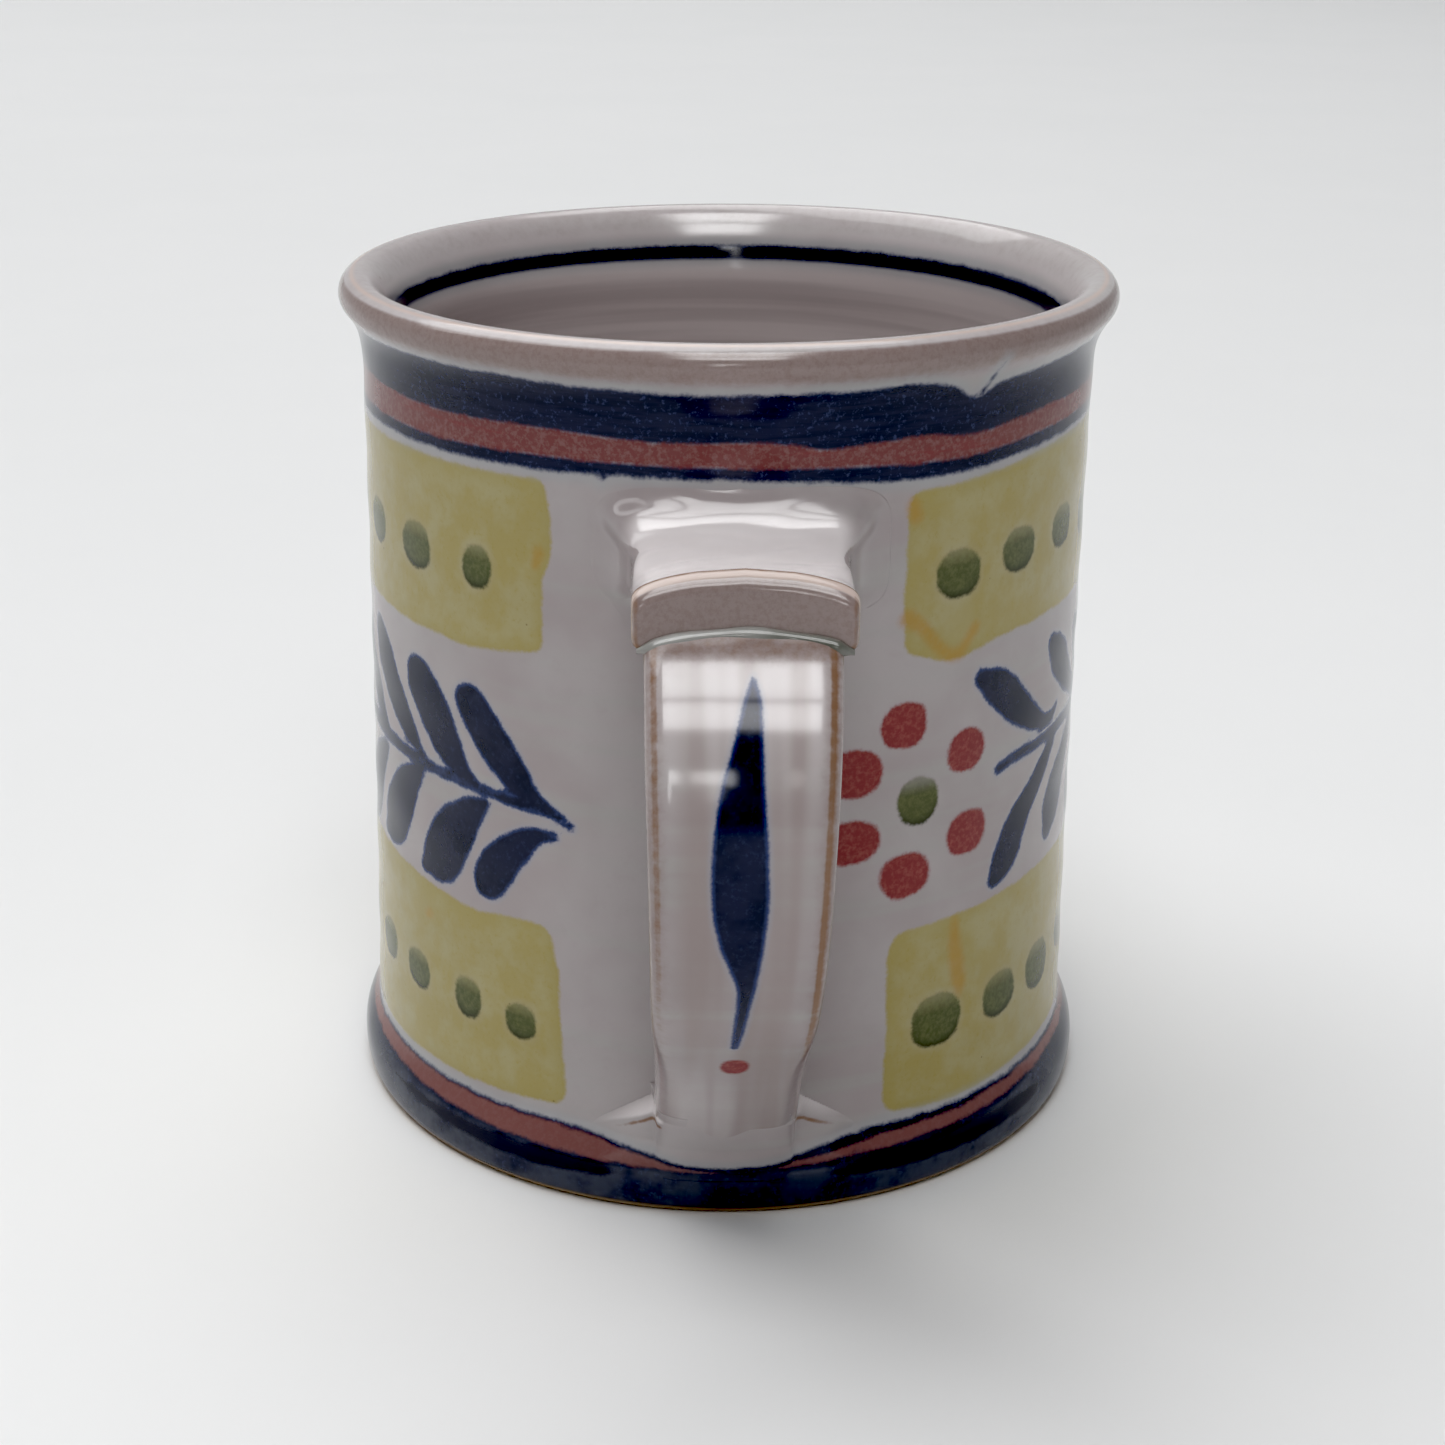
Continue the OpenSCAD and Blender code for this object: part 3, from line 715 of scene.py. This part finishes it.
def luting_rings(height, half_width, half_height, side, top, below):
    """Clay blended round a handle root: each section leaves the wall and meets the handle tangentially."""
    rings = []
    for i in range(COIL_STEPS):
        a = 2 * math.pi * i / COIL_STEPS
        across, up = superellipse(np.array([a]), 2.8)
        rim = np.array([half_width * across[0], half_height * up[0]])
        away = np.array([math.cos(a) / half_width, math.sin(a) / half_height])
        away /= np.linalg.norm(away)
        spread = side + ((top if math.sin(a) > 0 else below) - side) * math.sin(a) ** 2
        turn = np.radians(np.linspace(0, 90, 15))
        curve = np.stack([spread * (1 - np.sin(turn)), spread * (1 - np.cos(turn))], 1)
        section = np.concatenate([[[-FILLET_TUCK, -FILLET_TUCK], [spread + 0.5, -FILLET_TUCK],
                                   [spread + 0.25, -0.03]], curve, [[-FILLET_TUCK, spread]]])
        place = rim[None, :] + away[None, :] * section[:, :1]
        x, z = place[:, 0], height + place[:, 1]
        z = np.maximum(z, 0.4)
        out = np.sqrt(np.maximum(outer_radius(z) ** 2 - x * x, 1)) + section[:, 1]
        rings.append(np.stack([x, -out, z], 1))
    return np.array(rings)[:, ::-1]


def soft_max(a, b, blend):
    """The larger of a and b, with a fillet where they are closer than blend."""
    share = np.maximum(blend - np.abs(a - b), 0) / blend
    return np.maximum(a, b) + share ** 2 * blend / 4


SKIRT_HALF_WIDTH = 18.0
SKIRT_LOW, SKIRT_HIGH = 4.4, 15.0
SKIRT_BLEND = 4.0
LEDGE_THICKNESS = 2.9


def ledge_edge(across):
    """Height of the ledge beside the strap's end, which slopes down away from the strap."""
    return 13.5 - 0.60 * np.maximum(across - STRAP_WIDTH_LOW / 2 - 0.6, 0)


def skirt_rings():
    """Clay drawn down from the strap's end over the foot, with a sloping ledge on each side of it."""
    line = strap_line()
    face = line[:, :2] + line[:, 3:5] * STRAP_THICKNESS / 2
    face = face[face[:, 1] < 30][::-1]
    x = np.linspace(-SKIRT_HALF_WIDTH, SKIRT_HALF_WIDTH, 150)
    across = np.abs(x + STRAP_LEAN / 2)
    half = STRAP_WIDTH_LOW / 2
    rings = []
    for z in np.linspace(SKIRT_LOW, SKIRT_HIGH, 54):
        foot = np.sqrt(outer_radius(np.full(len(x), z)) ** 2 - x ** 2)
        share = np.minimum(across / half, 1) ** STRAP_END_SQUARENESS
        drop = STRAP_THICKNESS / 2 * (1 - (1 - share) ** (1 / STRAP_END_SQUARENESS))
        drop = drop + 12.0 * np.maximum(across - half, 0)
        edge = ledge_edge(across)
        ledge = smooth_step(z, edge + 0.15, edge - 0.55) * np.clip((z - 5.4) / (edge - 5.4), 0, 1) ** 0.8
        ledge = ledge * LEDGE_THICKNESS * (1 - smooth_step(across, half, half + 8.5)) ** 1.2
        out = soft_max(foot + ledge, np.interp(z, face[:, 1], face[:, 0]) - drop, SKIRT_BLEND) - 0.12
        front = np.stack([x, -out, np.full(len(x), z)], 1)
        back = np.stack([x, 2.0 - foot, np.full(len(x), z)], 1)
        rings.append(np.concatenate([front, back[::-1]]))
    return np.array(rings)


def build_luting():
    upper = luting_rings(73.0, REST_WIDTH / 2 - 0.6, 4.6, 4.4, 1.6, 3.0)
    made = []
    lower = skirt_rings()
    for node, rings, loop in (("upper_luting_coil", upper, True), ("lower_luting_coil", lower, False)):
        points = rings.reshape(-1, 3)
        fields = paint_fields(points, np.zeros(len(points), bool))
        off_wall = np.hypot(points[:, 0], points[:, 1]) - outer_radius(points[:, 2])
        across, z = np.abs(points[:, 0]), points[:, 2]
        below_edge = ledge_edge(across) - z
        side = smooth_step(across, STRAP_WIDTH_LOW / 2 + 7, STRAP_WIDTH_LOW / 2 + 1) * (z < 20)
        side = side * smooth_step(across, STRAP_WIDTH_LOW / 2 - 0.6, STRAP_WIDTH_LOW / 2)
        fields["ochre"] = 0.95 * np.exp(-((below_edge - 1.35) / 0.38) ** 2) * side
        # Painted highlight: a bright band along the top of each ledge beside the strap's end; away from the
        # wall the coils are a little paler.
        fields["light"] = np.maximum(0.12 * smooth_step(off_wall, 0.2, 1.0),
                                     0.9 * np.exp(-((below_edge - 0.2) / 0.45) ** 2) * side)
        made.append(make_piece(node + "_glazed", rings, loop=loop, fields=fields,
                               node=node))
    return made


SEAM_RADIUS = 0.74
SEAM_HEIGHT = 73.0
SEAM_DROP = 1.4


def build_seam():
    rings = []
    for i in range(97):
        side = -0.95 * math.cos(math.pi * i / 96)
        x = side * REST_WIDTH / 2 + STRAP_LEAN / 2
        out = REST_FRONT + 0.02 - REST_HOLLOW * (1 - side * side)
        z = SEAM_HEIGHT - SEAM_DROP * side * side - 0.05
        taper = 1 - 0.6 * smooth_step(abs(side), 0.8, 0.96)
        radius = SEAM_RADIUS * (1 + 0.12 * math.sin(9 * side + 1)) * taper
        a = 2 * math.pi * np.arange(20) / 20
        rings.append(np.stack([np.full(20, x), -out - radius * np.cos(a), z + radius * np.sin(a)], 1))
    rings = np.array(rings)
    height = np.tile(np.sin(2 * math.pi * np.arange(20) / 20), len(rings))
    # The light entry is a painted highlight: a faint pale line along the bead's lower side.
    fields = {"warm": smooth_step(height, 0.7, 0.95) * 0.4, "ochre": smooth_step(height, -0.6, -0.95) * 0.5,
              "light": smooth_step(height, -0.1, -0.5) * 0.1}
    return make_piece("seam_luting_coil_glazed", rings, fields=fields,
                      node="seam_luting_coil")


# ---- Materials ----

WHITE = (0.435, 0.400, 0.402)
WHITE_PINK = (0.395, 0.350, 0.352)
WHITE_DULL = (0.355, 0.312, 0.312)
WHITE_GREY = (0.41, 0.405, 0.39)
# Laid by the light field: partly thicker pooled glaze, partly painted highlight and painted top light.
THICK_GLAZE_AND_HIGHLIGHT = (0.86, 0.81, 0.81)
INNER_WHITE = (0.58, 0.525, 0.52)
IRON_SPECK = (0.16, 0.10, 0.07)
PANEL = (0.375, 0.315, 0.130)
PANEL_PALE = (0.40, 0.355, 0.19)
PANEL_DEEP = (0.33, 0.265, 0.070)
PANEL_SPECK = (0.13, 0.09, 0.03)
ORANGE = (0.42, 0.235, 0.045)
GREEN = (0.092, 0.102, 0.042)
GREEN_PALE = (0.130, 0.142, 0.062)
GREEN_DARK = (0.042, 0.048, 0.020)
RED = (0.22, 0.032, 0.032)
RED_PALE = (0.29, 0.070, 0.062)
NAVY = (0.020, 0.024, 0.050)
NAVY_DEEP = (0.012, 0.016, 0.034)
NAVY_BLACK = (0.004, 0.005, 0.018)
NAVY_LIGHT = (0.048, 0.070, 0.165)
NAVY_FRINGE = (0.045, 0.075, 0.20)
NAVY_FOOT = (0.074, 0.082, 0.108)
LEAF_HALO = (0.33, 0.37, 0.45)
BAND_HALO = (0.36, 0.39, 0.41)
ROSE = (0.18, 0.050, 0.048)
ROSE_PALE = (0.225, 0.105, 0.096)
ROSE_DUSTY = (0.25, 0.135, 0.125)
CREAM_AND_HIGHLIGHT = (0.64, 0.52, 0.47)
WARM = (0.30, 0.238, 0.224)
WARM_DEEP = (0.265, 0.203, 0.188)
WARM_STREAK = (0.32, 0.262, 0.25)
OCHRE = (0.25, 0.145, 0.085)
FOOT_SHADE = (0.030, 0.022, 0.016)
BASE_GOLD = (0.46, 0.30, 0.14)
BARE_CLAY = (0.46, 0.31, 0.19)
BARE_CLAY_DARK = (0.30, 0.19, 0.11)
POOL = (0.130, 0.134, 0.112)
TABLE = (0.86, 0.86, 0.86)
TABLE_DULL = (0.83, 0.835, 0.835)

GLAZE_INDEX = 1.55
GLAZE_BUMP = 0.10
ORANGE_PEEL = 0.012
TABLE_BUMP = 0.05


class Shader:
    """A node tree with short calls. Positions in it are in millimetres."""

    def __init__(self, name):
        self.material = bpy.data.materials.new(name)
        self.material.use_nodes = True
        self.tree = self.material.node_tree
        self.tree.nodes.clear()
        place = self.node("TexCoord").outputs["Object"]
        self.place = self.stretch(1 / MM, 1 / MM, 1 / MM, place)

    def node(self, kind, inputs=None, **settings):
        """A new node with its settings. Each input is linked to a socket or set to a value."""
        node = self.tree.nodes.new("ShaderNode" + kind)
        for key, value in settings.items():
            setattr(node, key, value)
        for key, value in (inputs or {}).items():
            socket = node.inputs[key]
            if isinstance(value, bpy.types.NodeSocket):
                self.tree.links.new(value, socket)
            elif socket.type == "RGBA":
                socket.default_value = (*value, 1.0)
            else:
                socket.default_value = value
        return node

    def stretch(self, x, y, z, vector=None):
        inputs = {0: vector or self.place, 1: (x, y, z)}
        return self.node("VectorMath", inputs, operation="MULTIPLY").outputs[0]

    def math(self, operation, a, b):
        return self.node("Math", {0: a, 1: b}, operation=operation).outputs[0]

    def times(self, a, b):
        return self.math("MULTIPLY", a, b)

    def plus(self, a, b):
        return self.math("ADD", a, b)

    def smooth(self, value, start, end):
        """0 where value is start and 1 where it is end, with a soft turn at both."""
        rising = start < end
        inputs = {"Value": value, "From Min": min(start, end), "From Max": max(start, end),
                  "To Min": 0.0 if rising else 1.0, "To Max": 1.0 if rising else 0.0}
        return self.node("MapRange", inputs, interpolation_type="SMOOTHSTEP").outputs["Result"]

    def mix(self, factor, a, b):
        return self.node("Mix", {"Factor": factor, 6: a, 7: b}, data_type="RGBA").outputs[2]

    def lay(self, colour, coat, value, start, end, amount=None):
        """A coat over the colour, growing as value goes from start to end, up to amount."""
        cover = self.smooth(value, start, end)
        if amount is not None:
            cover = self.times(cover, amount)
        return self.mix(cover, colour, coat)

    def noise(self, scale, detail, roughness, vector=None):
        inputs = {"Vector": vector or self.place, "Scale": scale, "Detail": detail, "Roughness": roughness}
        return self.node("TexNoise", inputs).outputs["Fac"]

    def specks(self, scale, size, share):
        """Small round spots, about one in each share of the cells of a Voronoi pattern."""
        cells = self.node("TexVoronoi", {"Vector": self.place, "Scale": scale})
        split = self.node("SeparateColor", {0: cells.outputs["Color"]})
        chosen = self.math("LESS_THAN", split.outputs[0], share)
        return self.times(chosen, self.smooth(cells.outputs["Distance"], size, size * 0.5))

    def upright(self):
        """Height above the foot."""
        return self.node("SeparateXYZ", {0: self.place}).outputs["Z"]

    def field(self, name):
        return self.node("Attribute", attribute_name=name).outputs["Fac"]

    def centred(self, value, amount):
        """A noise value turned into a wobble of plus or minus half of amount."""
        return self.times(self.math("SUBTRACT", value, 0.5), amount)

    def finish(self, colour, roughness, height, depth, index=GLAZE_INDEX):
        """The material, with a bump of the height pattern times depth in millimetres."""
        bump = self.node("Bump", {"Strength": 1.0, "Distance": depth * MM, "Height": height})
        inputs = {"Base Color": colour, "Roughness": roughness, "IOR": index,
                  "Normal": bump.outputs["Normal"]}
        self.node("OutputMaterial", {0: self.node("BsdfPrincipled", inputs).outputs[0]})
        return self.material


def milky_glaze(shader, main, second):
    """The base coat: cloudy white with faint horizontal throwing marks and iron specks."""
    rings = shader.noise(1.0, 2.0, 0.5, shader.stretch(0.02, 0.02, 0.35))
    colour = shader.lay(main, second, shader.noise(0.055, 3.0, 0.55), 0.38, 0.66)
    colour = shader.lay(colour, WHITE_GREY, rings, 0.45, 0.75, 0.5)
    colour = shader.lay(colour, second, shader.noise(0.5, 3.0, 0.6), 0.5, 0.8, 0.25)
    # Paler where the light field is set: thicker glaze on level tops, and also painted highlight and
    # painted top light.
    colour = shader.mix(shader.times(shader.field("light"), 0.9), colour, THICK_GLAZE_AND_HIGHLIGHT)
    return shader.mix(shader.times(shader.specks(0.20, 0.038, 0.30), 0.6), colour, IRON_SPECK)


def thin_edges(shader, colour):
    """Where the glaze runs thin over an edge it breaks to warm pink, to pale cream or to orange brown; on
    the lip and the brow the pale cream is also a painted highlight.
    """
    blotch = shader.noise(0.9, 3.0, 0.6)

    def field(name, wobble):
        return shader.plus(shader.field(name), shader.centred(blotch, wobble))

    mottle = shader.lay(WARM, WARM_DEEP, shader.noise(1.6, 4.0, 0.75), 0.40, 0.66)
    colour = shader.lay(colour, mottle, field("warm", 0.5), 0.15, 1.0, 0.92)
    # Cream: glaze breaking thin, and on the lip and the brow also a painted highlight.
    colour = shader.lay(colour, CREAM_AND_HIGHLIGHT, field("cream_and_highlight", 0.3), 0.2, 0.9, 0.85)
    return shader.lay(colour, OCHRE, field("ochre", 0.7), 0.3, 0.95, 0.9)


def paint_panels(shader, colour, distance, grain, cloud):
    """The yellow panels with their orange streaks, then the green dots, darker at their lower edges."""
    panel, green, shade = distance("panel"), distance("green"), shader.field("shade")
    body = shader.lay(PANEL, PANEL_PALE, cloud, 0.35, 0.68)
    body = shader.lay(body, PANEL_DEEP, grain, 0.52, 0.8, 0.4)
    rim = shader.times(shader.smooth(panel, -2.2, -0.1), shader.smooth(cloud, 0.25, 0.6))
    body = shader.mix(shader.times(rim, 0.35), body, PANEL_DEEP)
    body = shader.lay(body, PANEL_PALE, distance("pale"), 0.4, -0.7, 0.4)
    body = shader.mix(shader.times(shader.specks(0.42, 0.085, 0.18), 0.6), body, PANEL_SPECK)
    colour = shader.lay(colour, body, panel, 0.25, -0.35)
    colour = shader.lay(colour, ORANGE, distance("streak"), 0.7, -0.6, 0.6)
    colour = shader.lay(colour, WHITE_GREY, green, 1.0, 0.0, 0.10)
    lower = shader.times(shader.smooth(shade, -0.1, 1.0), shader.smooth(green, -1.3, -0.1))
    dot = shader.mix(lower, shader.lay(GREEN, GREEN_PALE, grain, 0.35, 0.7), GREEN_DARK)
    cover = shader.math("SUBTRACT", 1.0, shader.times(shader.smooth(shade, -0.2, -1.0), 0.45))
    return shader.lay(colour, dot, green, 0.22, -0.3, cover)


def paint_bands(shader, colour, distance, grain, cloud):
    """The navy bands at the rim and the foot, the rose ones between them and the darkest brushfuls."""
    sweep = shader.noise(1.0, 3.0, 0.7, shader.stretch(0.10, 0.10, 0.9))
    band, height = distance("band"), shader.upright()
    colour = shader.lay(colour, BAND_HALO, band, 1.6, 0.0, 0.5)
    dark = shader.lay(NAVY_DEEP, NAVY, sweep, 0.38, 0.62)
    dark = shader.lay(dark, NAVY_LIGHT, shader.noise(2.0, 3.0, 0.7), 0.54, 0.70, 0.7)
    dark = shader.lay(dark, NAVY_LIGHT, band, -0.45, -0.05, 0.45)
    foot = shader.times(shader.smooth(height, 7.5, 4.5), shader.smooth(cloud, 0.25, 0.62))
    dark = shader.mix(shader.times(foot, 0.85), dark, NAVY_FOOT)
    colour = shader.lay(colour, dark, band, 0.28, -0.3)
    blush = shader.lay(ROSE, ROSE_PALE, grain, 0.42, 0.66)
    blush = shader.lay(blush, RED, sweep, 0.5, 0.7, 0.4)
    blush = shader.lay(blush, ROSE_DUSTY, height, 12.0, 9.0, 0.75)
    colour = shader.lay(colour, blush, distance("rose"), 0.22, -0.3, 0.95)
    return shader.lay(colour, NAVY_BLACK, distance("dark"), 0.3, -0.35, 0.95)


def painted(shader, colour, wall=True):
    """Lays the brushed colours over the base coat, in the order in which they were painted."""
    fine, slow = (0.42, 0.55) if wall else (0.26, 0.12)
    wobble = shader.plus(shader.centred(shader.noise(2.6, 2.0, 0.6), fine),
                         shader.centred(shader.noise(0.45, 1.0, 0.5), slow))
    steady = shader.math("SUBTRACT", 1.0, shader.times(shader.field("inner"), 0.8))
    wobble = shader.times(wobble, steady)
    grain = shader.noise(1.8, 3.0, 0.65)
    cloud = shader.noise(0.22, 3.0, 0.6)

    def distance(name):
        return shader.plus(shader.field(name), wobble)

    if wall:
        colour = paint_panels(shader, colour, distance, grain, cloud)
    daubs = shader.lay(RED, RED_PALE, grain, 0.40, 0.72)
    colour = shader.lay(colour, daubs, distance("red"), 0.25, -0.3, 0.96)
    navy = distance("navy")
    colour = shader.lay(colour, LEAF_HALO, navy, 0.6, 0.0, 0.35)
    leaf = shader.lay(NAVY, NAVY_DEEP, cloud, 0.40, 0.62)
    leaf = shader.lay(leaf, NAVY_LIGHT, grain, 0.5, 0.8, 0.3)
    leaf = shader.lay(leaf, NAVY_FRINGE, navy, -0.55, -0.10, 0.75)
    colour = shader.lay(colour, leaf, navy, 0.18, -0.20)
    return paint_bands(shader, colour, distance, grain, cloud) if wall else colour


def finish_glaze(shader, colour, roughness):
    """The material over slow waves of the thrown clay, under a glaze with a faint orange peel."""
    peel = shader.times(shader.noise(0.9, 2.0, 0.5), ORANGE_PEEL)
    return shader.finish(colour, roughness, shader.plus(shader.noise(0.10, 1.0, 0.4), peel), GLAZE_BUMP)


def body_material():
    shader = Shader("painted_body_glaze")
    throwing = shader.noise(1.0, 2.0, 0.5, shader.stretch(0.015, 0.015, 0.5))
    lining = shader.lay(INNER_WHITE, WHITE_PINK, throwing, 0.35, 0.70, 0.6)
    colour = shader.mix(shader.field("inner"), milky_glaze(shader, WHITE, WHITE_PINK), lining)
    colour = painted(shader, thin_edges(shader, colour))
    # Painted shade: a dark brown strip at the bottom of the foot where it meets the table.
    colour = shader.lay(colour, FOOT_SHADE, shader.field("ochre"), 0.55, 1.0, 0.8)
    colour = shader.mix(shader.times(shader.field("base"), 0.85), colour, BASE_GOLD)
    bare = shader.field("bare")
    clay = shader.mix(shader.noise(0.8, 4.0, 0.7), BARE_CLAY, BARE_CLAY_DARK)
    roughness = shader.plus(0.10, shader.times(shader.noise(0.3, 3.0, 0.6), 0.08))
    roughness = shader.plus(roughness, shader.times(bare, 0.6))
    return finish_glaze(shader, shader.mix(bare, colour, clay), roughness)


def strap_material():
    shader = Shader("strap_glaze")
    streaks = shader.noise(1.0, 1.0, 0.5, shader.stretch(0.34, 0.02, 0.02))
    colour = shader.lay(milky_glaze(shader, WHITE_PINK, WHITE_DULL), WARM_STREAK, streaks, 0.42, 0.70, 0.62)
    colour = painted(shader, thin_edges(shader, colour), wall=False)
    return finish_glaze(shader, colour, shader.plus(0.08, shader.times(streaks, 0.08)))


def plain_material(name, main, second, painted_too=False):
    shader = Shader(name)
    colour = thin_edges(shader, milky_glaze(shader, main, second))
    if painted_too:
        colour = painted(shader, colour)
    return finish_glaze(shader, colour, shader.plus(0.08, shader.times(shader.noise(0.3, 3.0, 0.6), 0.08)))


def table_material():
    shader = Shader("pale_table")
    colour = shader.mix(shader.noise(0.01, 3.0, 0.6), TABLE, TABLE_DULL)
    roughness = shader.plus(0.55, shader.times(shader.noise(0.2, 2.0, 0.5), 0.1))
    return shader.finish(colour, roughness, shader.noise(0.02, 1.0, 0.5), TABLE_BUMP, index=1.0)


# ---- Floor, light and camera ----

FLOOR_RADIUS = 4000.0
SWEEP_RADIUS = 1800.0
BACKDROP_HEIGHT = 2500.0
FLOOR_SEGMENTS = 96


def build_floor():
    """A pale round table top that curves up into a backdrop on every side, far from the mug."""
    flat = np.array([[1.0, 0.0], [FLOOR_RADIUS - SWEEP_RADIUS, 0.0]])
    bend = arc((FLOOR_RADIUS - SWEEP_RADIUS, SWEEP_RADIUS), SWEEP_RADIUS, -90, 0, 24)
    wall = np.array([[FLOOR_RADIUS, SWEEP_RADIUS], [FLOOR_RADIUS, BACKDROP_HEIGHT]])
    line = join_lines(resample(flat, 200), bend, wall)
    angle = -2 * math.pi * np.arange(FLOOR_SEGMENTS) / FLOOR_SEGMENTS
    radius, height = line[:, 0][:, None], line[:, 1][:, None]
    rings = np.stack([radius * np.cos(angle), radius * np.sin(angle), height + 0 * angle], -1)
    piece = make_piece("pale_floor", rings, ends=False)
    piece.data.materials.append(table_material())
    return piece


def area_light(name, place, target, width, height, radiance):
    """A soft rectangular light of the given radiance that faces target; lengths in millimetres."""
    light = bpy.data.lights.new(name, "AREA")
    light.shape = "RECTANGLE"
    light.size, light.size_y = width * MM, height * MM
    light.energy = radiance * math.pi * light.size * light.size_y
    lamp = bpy.data.objects.new(name, light)
    lamp.location = Vector(place) * MM
    lamp.rotation_euler = (Vector(target) - Vector(place)).to_track_quat("-Z", "Y").to_euler()
    bpy.context.scene.collection.objects.link(lamp)
    return lamp


WINDOW_DISTANCE = 900.0
WINDOW_MIDDLE = 63.5
WINDOW_PANES = [(40.5, 56.1), (59.1, 82.0)]
WINDOW_HALF_WIDTH = 12.5
WINDOW_RADIANCE = 4.4
WINDOW_GLARE = 12.0
LOW_PANE_TARGET = (0, -70, 60)
LOW_PANES = [("low_pane", (-32, -760, 285), 74, 78, 6.5), ("low_pane_side", (-60, -760, 200), 22, 80, 8.0)]
OVERHEAD_PLACE = (-750, 1050, 2500)
OVERHEAD_SIZE = (3400, 2600)
OVERHEAD_RADIANCE = 2.38
SURROUND_COLOUR = (0.93, 0.96, 1.0)
SURROUND_STRENGTH = 0.14


def add_lights():
    """A tall window above and in front of the mug, a broad overhead softbox and a pale surround.
    The glare and low panes show in reflections only, as bright as the real window's."""
    target = Vector((0, -HANDLE_REACH + 8, 70))
    middle = math.radians(WINDOW_MIDDLE)
    away = Vector((0, -math.cos(middle), math.sin(middle)))
    up = Vector((0, math.sin(middle), math.cos(middle)))
    width = 2 * WINDOW_DISTANCE * math.tan(math.radians(WINDOW_HALF_WIDTH))
    for i, (low, high) in enumerate(WINDOW_PANES):
        bottom = WINDOW_DISTANCE * math.tan(math.radians(low - WINDOW_MIDDLE))
        top = WINDOW_DISTANCE * math.tan(math.radians(high - WINDOW_MIDDLE))
        centre = target + away * WINDOW_DISTANCE + up * (bottom + top) / 2
        area_light(f"window_pane_{i}", centre, centre - away, width, top - bottom, WINDOW_RADIANCE)
        glare = area_light(f"window_glare_{i}", centre, centre - away, width, top - bottom, WINDOW_GLARE)
        glare.visible_diffuse = False
    for name, place, width, height, radiance in LOW_PANES:
        area_light(name, place, LOW_PANE_TARGET, width, height, radiance).visible_diffuse = False
    area_light("overhead", OVERHEAD_PLACE, (0, 0, 0), *OVERHEAD_SIZE, OVERHEAD_RADIANCE)
    world = bpy.data.worlds.new("studio")
    world.use_nodes = True
    surround = world.node_tree.nodes["Background"].inputs
    surround["Color"].default_value = (*SURROUND_COLOUR, 1.0)
    surround["Strength"].default_value = SURROUND_STRENGTH
    bpy.context.scene.world = world


CAMERA_DISTANCE = 272.57
CAMERA_HEIGHT = 146.36
CAMERA_TURN = 1.6
CAMERA_DIP = 21.16
CAMERA_ROLL = 0.804
CAMERA_LENS = 61.01
BLACK_LEVEL = 0.048


def add_camera():
    camera = bpy.data.cameras.new("camera")
    camera.lens = CAMERA_LENS
    camera.sensor_width = 36.0
    camera.clip_start, camera.clip_end = 0.01, 50.0
    holder = bpy.data.objects.new("camera", camera)
    turn, dip = math.radians(CAMERA_TURN), math.radians(CAMERA_DIP)
    ahead = Vector((math.sin(turn), math.cos(turn), 0))
    place = (Vector((0, 0, CAMERA_HEIGHT)) - ahead * CAMERA_DISTANCE) * MM
    look = ahead * math.cos(dip) - Vector((0, 0, math.sin(dip)))
    spin = look.to_track_quat("-Z", "Y").to_matrix().to_4x4()
    roll = Matrix.Rotation(math.radians(CAMERA_ROLL), 4, "Z")
    holder.matrix_world = Matrix.Translation(place) @ spin @ roll
    bpy.context.scene.collection.objects.link(holder)
    bpy.context.scene.camera = holder


# ---- Put together ----

body = build_body()
strap = build_strap()
rest = build_rest()
upper_coil, lower_coil = build_luting()
seam = build_seam()

body.data.materials.append(body_material())
strap.data.materials.append(strap_material())
rest.data.materials.append(plain_material("thumb_rest_glaze", WHITE, WHITE_PINK))
luting = plain_material("luting_glaze", WHITE, WHITE_PINK, painted_too=True)
upper_coil.data.materials.append(luting)
lower_coil.data.materials.append(luting)
seam.data.materials.append(plain_material("seam_glaze", POOL, WHITE_GREY))

build_floor()
add_lights()
add_camera()
view = bpy.context.scene.view_settings
view.view_transform = "Standard"
view.use_curve_mapping = True
view.curve_mapping.black_level = (BLACK_LEVEL,) * 3
view.curve_mapping.update()
